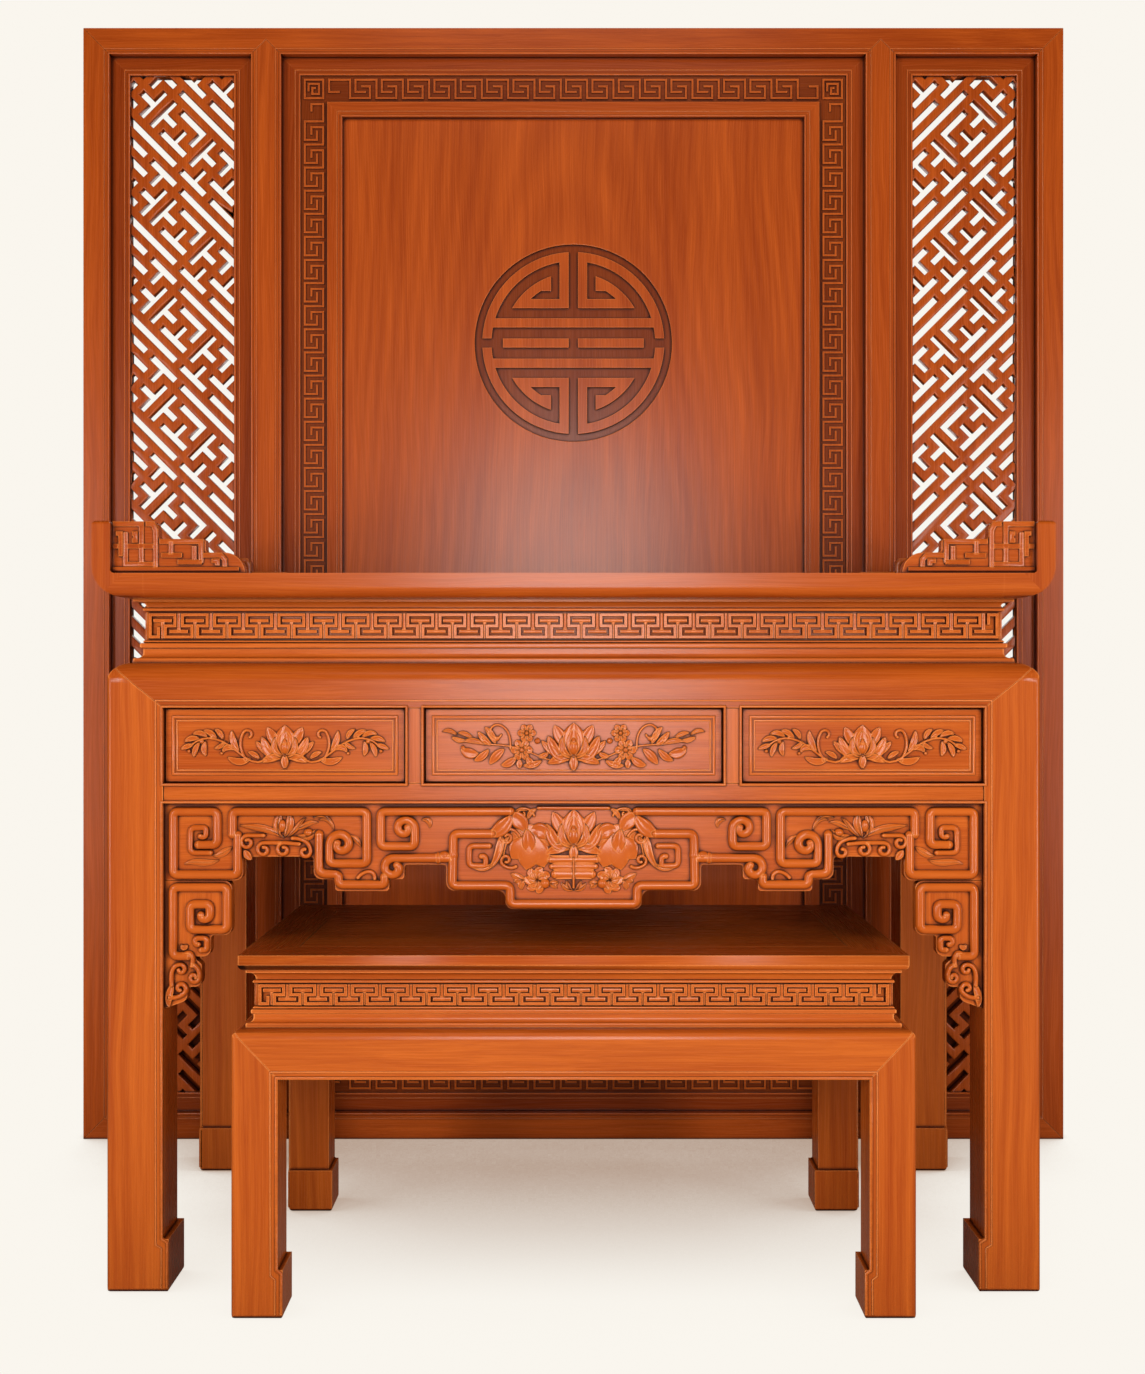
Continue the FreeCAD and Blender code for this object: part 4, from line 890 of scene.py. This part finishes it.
def leafy(relief, leaves, knobs):
    """Leaves, each given by its start, middle, end and half width, and round buds by place and radius."""
    for *controls, half_width in leaves:
        relief.petal(bend(*controls), half_width, LEAF_HEIGHT, 0.5)
    for place, reach in knobs:
        relief.ball(place, (reach, reach), LEAF_HEIGHT)


def spray(relief):
    """A flowering branch that runs out from the lotus to the right."""
    relief.tube(bend((40, -26), (74, -22), (112, 26), (150, -16), (192, 10), (214, 12)), 1.9, 3.4)
    blossom(relief, (83, 22), 17)
    blossom(relief, (92, -8), 20)
    relief.tube(curl(bend((112, -6), (110, 24), (126, 34)), 15, 8, -290), 2.4, 3.8)
    leafy(relief,
          [((44, -12), (54, -22), (64, -18), 5.5), ((56, -26), (72, -38), (90, -35), 6.5),
           ((84, -20), (76, -30), (72, -41), 7.0), ((95, -24), (97, -33), (95, -41), 6.0),
           ((102, -20), (112, -34), (129, -35), 7.5), ((122, -6), (138, -16), (149, -34), 8.5),
           ((138, 2), (146, 24), (158, 33), 6.5), ((144, 0), (158, 8), (170, 25), 6.5),
           ((150, -6), (160, -22), (177, -27), 7.0), ((168, -14), (184, -18), (200, -6), 9.5),
           ((156, 0), (178, 16), (198, 5), 4.5), ((178, 12), (192, 24), (206, 22), 4.5),
           ((190, 10), (204, 6), (216, 16), 5.0), ((206, 18), (220, 31), (233, 24), 4.0)],
          [((64, 8), 5.5), ((136, 12), 5.0), ((160, 12), 4.0), ((196, -4), 4.4)])


def vine(relief):
    """A leafy vine that runs out from the lotus to the right."""
    relief.tube(bend((34, -26), (70, -44), (84, 0), (116, 22), (146, 20), (166, 0)), 2.6, 3.6)
    relief.tube(curl(bend((68, -26), (86, 0), (74, 22)), 9, 5, 220), 3.0, 4.2)
    leafy(relief,
          [((60, -22), (80, -36), (102, -20), 7.0), ((80, -12), (94, 4), (94, 27), 6.5),
           ((86, -8), (104, 4), (110, -13), 6.0), ((44, -24), (56, -12), (66, -12), 5.0),
           ((110, 10), (112, 24), (125, 29), 5.0), ((120, 12), (134, 28), (146, 25), 5.5),
           ((136, 14), (150, 28), (164, 19), 5.0), ((150, 12), (166, 16), (178, 6), 5.5),
           ((140, 8), (147, -8), (139, -19), 5.5), ((150, 6), (161, -6), (161, -21), 5.5),
           ((160, 2), (174, -1), (185, -7), 5.0), ((104, 8), (114, -5), (126, -5), 4.5)],
          [((147, 7), 4.6), ((170, -10), 3.8), ((130, 15), 3.8), ((112, -14), 3.4)])


def drawer_carving(name, flower, branch):
    low, high = corners(name + "_front")
    middle = (low + high) / 2
    half_length = (high.x - low.x) / 2
    half_height = (high.z - low.z) / 2
    relief = Relief(FRONT, (middle.x, low.y, middle.z))
    for inset, half_width, height in ((PANEL_INSET, EDGE_BEAD, EDGE_BEAD_HEIGHT),
                                      (PANEL_LINE_INSET, LINE_BEAD, LINE_BEAD_HEIGHT)):
        corner = (half_length - inset, half_height - inset)
        ring = rectangle((-corner[0], -corner[1]), corner)
        relief.sweep(ring, ROUND, half_width, height, closed=True)
    lotus(relief, (0, -3), flower, spreading=True)
    branch(relief)
    relief.mirror()
    branch(relief)
    relief.finish(name + "_carving", carved, name)


drawer_carving("drawer_left", 0.84, vine)
drawer_carving("drawer_center", 0.93, spray)
drawer_carving("drawer_right", 0.84, vine)


# Apron, drawn for its left half from the middle of its top edge
INNER_TUBE = 5.6
THIN_TUBE = 3.6
THIN_HEIGHT = 5.0


def apron_scrolls(relief):
    relief.tube(rounded([(-595.2, -56.5), (-595.2, -126.6), (-709.4, -126.6), (-709.4, -14.4),
                         (-631.6, -14.4), (-631.6, -73.4), (-664.6, -73.4)]))
    relief.tube(curl(rounded([(-643.5, -87.5), (-678.9, -87.5), (-678.9, -43.4), (-651.4, -43.4),
                              (-651.4, -54)], 9), 7, 4, -150), INNER_TUBE, 6)
    relief.tube(curl(rounded([(-604.4, -55.3), (-604.4, -14.4), (-366.4, -14.4), (-366.4, -106.7),
                              (-432.7, -106.7), (-432.7, -74.6)]), 20, 6, -400))
    relief.tube(rounded([(-450.9, -55.3), (-450.9, -124.9), (-416.2, -124.9), (-416.2, -144.1),
                         (-335.3, -144.1), (-335.3, -130)], 13))
    relief.tube(curl(rounded([(-220, -97), (-318, -97)]), 17, 8, 320))
    relief.tube(curl(rounded([(-112, -14), (-341.8, -14.4), (-341.8, -76.3), (-281.8, -76.3),
                              (-281.8, -46)]), 17, 5, 400))
    relief.tube(curl(rounded([(-149.2, -75.7), (-185.1, -75.7), (-185.1, -111), (-155.6, -111),
                              (-155.6, -100)], 9), 7, 4, 120), INNER_TUBE, 6)
    for place, reach in (((-228, -93), (12, 9)), ((-240, -97), (6, 11)), ((-214, -92), (10, 12))):
        relief.ball(place, reach, 9.5)


def apron_leaves(relief):
    """Bud, leaves and small scrolls between corner block and cloud, and leaf scraps in the scrolls."""
    leaves = [((-592, -39), (-560, -44), (-540, -42), (-512, -62), 6.5, 6.5),
              ((-520, -60), (-530, -36), (-522, -22), (-516, -18), 8, 6.0),
              ((-512, -60), (-502, -40), (-500, -26), (-508, -18), 8, 6.0),
              ((-508, -60), (-490, -48), (-484, -30), (-474, -26), 5, 6.0),
              ((-494, -46), (-478, -44), (-470, -30), (-452, -34), 5, 5.0),
              ((-490, -56), (-474, -64), (-462, -58), (-456, -46), 7, 7.0),
              ((-452, -30), (-438, -24), (-430, -30), (-424, -48), 4, 5.0),
              ((-462, -26), (-448, -20), (-438, -20), (-428, -34), 3.5, 5.0),
              ((-398, -58), (-388, -60), (-382, -66), (-376, -78), 5, 5.0),
              ((-640, -92), (-628, -96), (-618, -84), (-604, -78), 6, 5.0),
              ((-690, -108), (-670, -98), (-650, -112), (-628, -100), 6, 5.0),
              ((-270, -30), (-258, -26), (-252, -34), (-256, -44), 5, 5.0)]
    for *controls, half_width, height in leaves:
        relief.petal(bend(*controls), half_width, height, 0.5, LEAF)
    relief.ball((-516, -40), (8, 12), 8)
    relief.ball((-470, -52), (9, 8), 8)
    for start, corner, turn in (((-549, -57), (-577, -57), 400), ((-520, -70), (-548, -70), 380),
                                ((-486, -72), (-512, -70), 380)):
        relief.tube(curl(rounded([start, corner]), 12, 4, turn), 4.4, 6)
    relief.tube(curl(bend((-498, -62), (-470, -62), (-466, -82)), 10, 4, -300), 4.4, 6)
    relief.petal(bend((-584, -82), (-576, -96), (-570, -100)), 7, 5.5)
    relief.tube(bend((-382, -132), (-372, -118), (-352, -116), (-352, -134)), 4, 5)


def apron_garland(relief):
    """Leaves, lobes and small flowers beside the lotus in the middle of the apron."""
    relief.petal(bend((-40, -76), (-72, -46), (-116, -62)), 20, 3.0, 0.55, PAD)
    for tip in ((-110, -98), (-52, -113), (-84, -118)):
        relief.petal(bend((-72, -52), tip), 19, 4.0, 0.62, PAD)
    lobes = [((-84, -44), (-78, -66), (-80, -89), 13, 6.5, 0.55),
             ((-84, -52), (-94, -24), (-116, -22), 15, 5.6, 0.55),
             ((-44, -64), (-58, -40), (-76, -50), 14, 5.4, 0.5),
             ((-152, -56), (-126, -52), (-110, -20), 14, 7.0, 0.5),
             ((-128, -56), (-130, -98), (-152, -118), 8, 6.5, 0.35),
             ((-112, -56), (-134, -80), (-124, -106), 6, 5.0, 0.5),
             ((-82, -30), (-78, -12), (-64, -10), 5, 5.0, 0.5),
             ((-106, -18), (-92, -4), (-76, -14), 4, 5.0, 0.5)]
    for start, middle, end, half_width, height, widest in lobes:
        relief.petal(bend(start, middle, end), half_width, height, widest)
    relief.petal(bend((-140, -104), (-158, -124), (-178, -116), (-188, -100)), 5, 5.5, 0.4)
    relief.tube(curl(bend((-96, -58), (-104, -44), (-118, -46)), 14, 3, 430), THIN_TUBE, THIN_HEIGHT)
    relief.tube(curl(bend((-102, -112), (-112, -118), (-124, -110)), 10, 3, -360), THIN_TUBE, THIN_HEIGHT)
    relief.tube(curl(bend((-70, -22), (-76, -8), (-90, -9)), 9, 3, 330), 2.8, 4.5)
    base = Vector((-64, -136))
    for radius, height, half_width in ((23, 3.4, 9), (15, 4.8, 6.5)):
        for angle in (15, 65, 115, 165, 215, 265):
            away = Vector((math.cos(math.radians(angle)), math.sin(math.radians(angle)))) * radius
            side = Vector((-away.y, away.x)) * 0.35
            relief.petal(bend(base, base + away * 0.7 + side, base + away), half_width, height, 0.6)
    relief.ball((-51, -142), (9.5, 9.5), 8)
    for tip in ((-112, -124), (-106, -140), (-92, -154)):
        relief.petal(bend((-84, -136), (-96, -134), tip), 6.5, 4.2, 0.5, LEAF)
    for tip in ((-30, -152), (-26, -140)):
        relief.petal(bend((-46, -142), (-36, -142), tip), 5, 4.2, 0.5, LEAF)


def front_apron():
    low = low_corner("altar_apron")
    origin = (0, low.y, low_corner("altar_drawer_rail").z)
    relief = Relief(FRONT, origin)
    for _ in range(2):
        apron_scrolls(relief)
        apron_leaves(relief)
        apron_garland(relief)
        relief.mirror()
    cloud = [(-145, -54.3), (-213, -54.3), (-215, -146), (-112.5, -146), (-112.5, -178.5)]
    relief.tube(rounded(cloud + [(-u, v) for u, v in reversed(cloud)]))
    relief.tube([Vector((-62, -8)), Vector((62, -8))], 4, 5)
    bowl_bands = ((-100, 41, 6.5, 5.0), (-112, 39, 5.5, 4.4), (-126, 33, 8.0, 4.6))
    relief.sweep([Vector((0, -92)), Vector((0, -134))], PAD, lambda share: 42 - 10 * share, 3.4)
    for v, half_length, half_width, height in bowl_bands:
        relief.tube([Vector((-half_length, v)), Vector((half_length, v))], half_width, height)
    relief.sweep([Vector((0, -96)), Vector((0, -150))], ROUND, 2.8, 7)
    for tip in ((-22, -140), (-13, -136), (13, -136), (22, -140)):
        relief.petal(bend((0, -154), (tip[0] * 0.7, -154), tip), 4.5, 4.5, 0.5, LEAF)
    lotus(relief, (0, -57.5), 1.0)
    relief.finish("altar_apron_carving", carved, "altar")


def spandrel_scrolls(relief):
    relief.tube(curl(rounded([(-683.1, -270.8), (-709.9, -270.8), (-709.9, -148.7), (-614.3, -148.7),
                              (-614.3, -223.7), (-679.4, -223.7), (-679.4, -179.1), (-644.7, -179.1),
                              (-644.7, -196)]), 10, 4, -200))
    hook = rounded([(-660, -259.6), (-650, -259.6), (-650, -238.6), (-664, -238.6)], 9)
    relief.tube(curl(hook, 7, 4, 200), 6, 7)
    relief.tube(bend((-690, -268), (-676, -258), (-672, -276), (-676, -288)), 5, 7)
    relief.tube(curl(bend((-712, -322), (-716, -290), (-700, -286)), 9, 3, -300), 5, 7)
    relief.tube(curl(bend((-676, -286), (-662, -290), (-663, -308)), 9, 3, -380), 5, 7)
    relief.tube(curl(bend((-716, -344), (-700, -346), (-690, -336)), 10, 3, 330), 5, 7)
    relief.petal(bend((-708, -318), (-722, -344), (-716, -362)), 8, 6)
    relief.petal(bend((-696, -250), (-690, -262), (-684, -250)), 5, 5)


def spandrels():
    relief = Relief(FRONT, (0, low_corner("altar_left_spandrel").y, low_corner("altar_drawer_rail").z))
    for _ in range(2):
        spandrel_scrolls(relief)
        relief.mirror()
    relief.finish("altar_spandrel_carving", carved, "altar")


front_apron()
spandrels()


# Scroll brackets, drawn from the foot of the upturned end
BRACKET_STRAP = 4.4
BRACKET_STRAP_HEIGHT = 2.6
STRAP_STEP = 0.13


def bracket_straps(relief):
    straps = [[(2, 87), (52, 87), (52, 14)], [(2, 48), (79, 48)], [(24, 72), (24, 16), (77, 16)],
              [(60, 87), (72, 87), (77, 76), (77, 10)], [(84, 56), (157, 56), (157, 19)],
              [(104, 56), (104, 34)], [(87, 32), (124, 32)], [(145, 48), (145, 24)], [(116, 20), (159, 20)],
              [(161, 32), (192, 32), (199, 24), (199, 12)], [(176, 22), (186, 22), (186, 14)],
              [(2, 7), (224, 7)], [(36, 70), (42, 70), (42, 58), (36, 58)], [(8, 70), (16, 70), (16, 30)]]
    for index, corners in enumerate(straps):
        height = BRACKET_STRAP_HEIGHT + STRAP_STEP * index
        relief.sweep([Vector(corner) for corner in corners], STRAP, BRACKET_STRAP, height)


def brackets():
    low, high = corners("scroll_bracket_front_left")
    back_low, back_high = corners("scroll_brackets_back")
    top = high_corner("altar_top_panel").z
    relief = Relief()
    for sides, y, start in ((FRONT, low.y, low.x), (BACK, high.y, -low.x),
                            (FRONT, back_low.y, low.x), (BACK, back_high.y, -low.x)):
        relief.turn_to(sides, (start, y, top))
        bracket_straps(relief)
        relief.turn_to(sides, (-start, y, top))
        relief.mirror()
        bracket_straps(relief)
    relief.finish("altar_bracket_frets", rail_x, "altar")


brackets()


# Screen
FRONT_UPRIGHT = ((0, 0, 1), (0, -1, 0))
BORDER_KEY = [(0.40, 0.34), (0, 0.34), (0, 1), (0.80, 1), (0.80, 0), (1.55, 0), (1.55, 0.64), (1.22, 0.64)]
BORDER_OVERRUN = 0.55
BORDER_KEY_HEIGHT = 44.0
BORDER_STRAP = 2.7
BORDER_STRAP_HEIGHT = 3.2
BORDER_END = 8.0
BORDER_KEYS_ACROSS = 18
BORDER_KEYS_UP = 41
TONGUE = 9.0
CORNER_RING = 22.0
CORNER_KNOT = [(-13, -6), (-13, 12), (12, 12), (12, -12), (-4, -12), (-4, 2), (4, 2)]


def border_key(relief, length, count):
    period = length / (count + BORDER_OVERRUN)
    low = Vector((-length / 2, -BORDER_KEY_HEIGHT / 2))
    for index in range(count):
        path = [low + Vector(((index + along) * period, up * BORDER_KEY_HEIGHT)) for along, up in BORDER_KEY]
        relief.sweep(path, STRAP, BORDER_STRAP, BORDER_STRAP_HEIGHT)


def screen_border():
    low, high = corners("screen_fret_border")
    inner = high_corner("screen_panel_moulding")
    width = high.x - inner.x
    side = high.x - width / 2
    bottom = low.z + width / 2
    top = high.z - width / 2
    relief = Relief()
    for level in (bottom, top):
        relief.turn_to(FRONT, (0, low.y, level))
        border_key(relief, 2 * inner.x - BORDER_END, BORDER_KEYS_ACROSS)
        for corner in (-side, side):
            relief.turn_to(FRONT, (corner, low.y, level))
            ring = rectangle((-CORNER_RING, -CORNER_RING), (CORNER_RING, CORNER_RING))
            relief.sweep(ring, STRAP, BORDER_STRAP, BORDER_STRAP_HEIGHT, closed=True)
            relief.sweep([Vector(knot) for knot in CORNER_KNOT], STRAP, BORDER_STRAP, BORDER_STRAP_HEIGHT)
    for place in (-side, side):
        relief.turn_to(FRONT_UPRIGHT, (place, low.y, (low.z + high.z) / 2))
        border_key(relief, top - bottom - width - BORDER_END, BORDER_KEYS_UP)
    relief.finish("screen_border_fret", border_round, "altar", "screen_hardwood")


def screen_beads():
    """Fine beads round each opening of the screen's frames."""
    relief = Relief()
    outer_low, outer_high = corners("screen_lattice_frames")
    band_low, band_high = corners("screen_band_frame")
    border_low, border_high = corners("screen_fret_border")
    moulding_y = low_corner("screen_panel_moulding").y
    mullion = high_corner("screen_mullions")
    frame_y = low_corner("screen_top_rail").y
    tongue = Vector((TONGUE, 0, TONGUE))
    lattice_low, lattice_high = corners("screen_left_lattice")
    lattice_low += tongue
    lattice_high -= tongue
    panel_low, panel_high = corners("screen_panel")
    panel_low += tongue
    panel_high -= tongue
    rings = [(frame_y, (outer_low.x, outer_low.z), (-mullion.x, outer_high.z)),
             (frame_y, (mullion.x, outer_low.z), (outer_high.x, outer_high.z)),
             (frame_y, (band_low.x, band_low.z), (band_high.x, band_high.z)),
             (outer_low.y, (lattice_low.x, lattice_low.z), (lattice_high.x, lattice_high.z)),
             (outer_low.y, (-lattice_high.x, lattice_low.z), (-lattice_low.x, lattice_high.z)),
             (band_low.y, (border_low.x, border_low.z), (border_high.x, border_high.z)),
             (moulding_y, (panel_low.x, panel_low.z), (panel_high.x, panel_high.z))]
    for y, low, high in rings:
        relief.turn_to(FRONT, (0, y, 0))
        for offset, half_width, height in ((EDGE_BEAD, EDGE_BEAD, EDGE_BEAD_HEIGHT),
                                           (LINE_OFFSET, LINE_BEAD, LINE_BEAD_HEIGHT)):
            ring = rectangle((low[0] - offset, low[1] - offset), (high[0] + offset, high[1] + offset))
            relief.sweep(ring, ROUND, half_width, height, closed=True)
    relief.finish("screen_edge_beads", screen_round, "altar", "screen_hardwood")


screen_border()
screen_beads()


# Studio
LAMP_COLOUR = (1, 0.98, 0.95)
SURROUNDINGS = (0.955, 0.92, 0.855, 1)
FILL_COLOUR = (1, 0.76, 0.56, 1)
FILL_STRENGTH = 0.03
FLOOR_SIZE = 40
FLOOR_COLOUR = (0.4, 0.36, 0.31, 1)
# Painted shade on the floor: its colour, the reach of the occlusion it follows, and how it deepens from front
# to back
FLOOR_SHADE = (0.44, 0.31, 0.24, 1)
FLOOR_SHADE_REACH = 1.0
FLOOR_SHADE_RANGE = (0.05, 0.72)
FLOOR_SHADE_FRONT = (-0.48, 0.1)
FLOOR_SHADE_BACK = (0.42, 1.46)

# Each light's name, place, what it is aimed at, size and power
LAMPS = [
    ("side_left", (-3.15, -3.6, 1.75), (0, -0.2, 1.1), (0.9, 1.2), 47),
    ("side_right", (3.15, -3.6, 1.75), (0, -0.2, 1.1), (0.9, 1.2), 47),
    ("low_left", (-3.25, -3.4, 0.45), (0, -0.3, 0.9), (1.0, 0.6), 35),
    ("low_right", (3.25, -3.4, 0.45), (0, -0.3, 0.9), (1.0, 0.6), 35),
    ("front", (0, -3.7, 1.45), (0, -0.3, 1.3), (1.05, 1.7), 65),
    ("behind", (0, 4.6, 2.6), (0, 0.5, 1.3), (2.4, 1.6), 30),
    ("above", (0, -2.4, 4.2), (0, 0, 1.5), (1.8, 0.6), 10),
]


def soft_light(name, place, target, size, power):
    data = bpy.data.lights.new(name, "AREA")
    data.shape = "RECTANGLE"
    data.size = size[0]
    data.size_y = size[1]
    data.energy = power
    data.color = LAMP_COLOUR
    light = bpy.data.objects.new(name, data)
    light.location = place
    light.rotation_euler = (Vector(target) - Vector(place)).to_track_quat("-Z", "Y").to_euler()
    bpy.context.scene.collection.objects.link(light)


def floor_finish():
    """Seamless pale floor that shows the surroundings, with a painted soft warm shade under the furniture
    that deepens towards the back.
    """
    finish = Finish("studio_floor")
    sky = finish.node("ShaderNodeAmbientOcclusion", {"samples": 32}, {"Distance": FLOOR_SHADE_REACH}, "AO")
    place = finish.node("ShaderNodeTexCoord", output="Object")
    back = finish.node("ShaderNodeSeparateXYZ", inputs={0: place}, output="Y")
    front_y, front_share = FLOOR_SHADE_FRONT
    back_y, back_share = FLOOR_SHADE_BACK
    depth = finish.node("ShaderNodeMapRange", inputs={
        0: back, 1: front_y, 2: back_y, 3: front_share, 4: back_share})
    shade = finish.blend((1.0 - sky.smooth(*FLOOR_SHADE_RANGE)) * depth, (1, 1, 1, 1), FLOOR_SHADE)
    seen = finish.node("ShaderNodeBsdfTransparent", inputs={"Color": shade})
    lit = finish.node("ShaderNodeBsdfDiffuse", inputs={"Color": FLOOR_COLOUR})
    camera = finish.node("ShaderNodeLightPath", output="Is Camera Ray")
    surface = finish.node("ShaderNodeMixShader", inputs={0: camera, 1: lit, 2: seen})
    finish.node("ShaderNodeOutputMaterial", inputs={"Surface": surface})
    return finish.material


def studio():
    """Pale floor, cream surroundings, soft light and the camera."""
    scene = bpy.context.scene
    bpy.ops.mesh.primitive_plane_add(size=FLOOR_SIZE)
    floor = bpy.context.object
    floor.name = "floor"
    floor.data.materials.append(floor_finish())

    world = bpy.data.worlds.new("surroundings")
    world.use_nodes = True
    tree = world.node_tree
    tree.nodes["Background"].inputs["Color"].default_value = FILL_COLOUR
    tree.nodes["Background"].inputs["Strength"].default_value = FILL_STRENGTH
    seen = tree.nodes.new("ShaderNodeBackground")
    seen.inputs["Color"].default_value = SURROUNDINGS
    path = tree.nodes.new("ShaderNodeLightPath")
    mix = tree.nodes.new("ShaderNodeMixShader")
    tree.links.new(path.outputs["Is Camera Ray"], mix.inputs[0])
    tree.links.new(tree.nodes["Background"].outputs[0], mix.inputs[1])
    tree.links.new(seen.outputs[0], mix.inputs[2])
    tree.links.new(mix.outputs[0], tree.nodes["World Output"].inputs["Surface"])
    scene.world = world

    for lamp in LAMPS:
        soft_light(*lamp)

    data = bpy.data.cameras.new("camera")
    data.lens = CAMERA_LENS
    camera = bpy.data.objects.new("camera", data)
    camera.location = CAMERA_PLACE
    camera.rotation_euler = (math.radians(90), 0, 0)
    scene.collection.objects.link(camera)
    scene.camera = camera
    scene.view_settings.view_transform = "Standard"


studio()
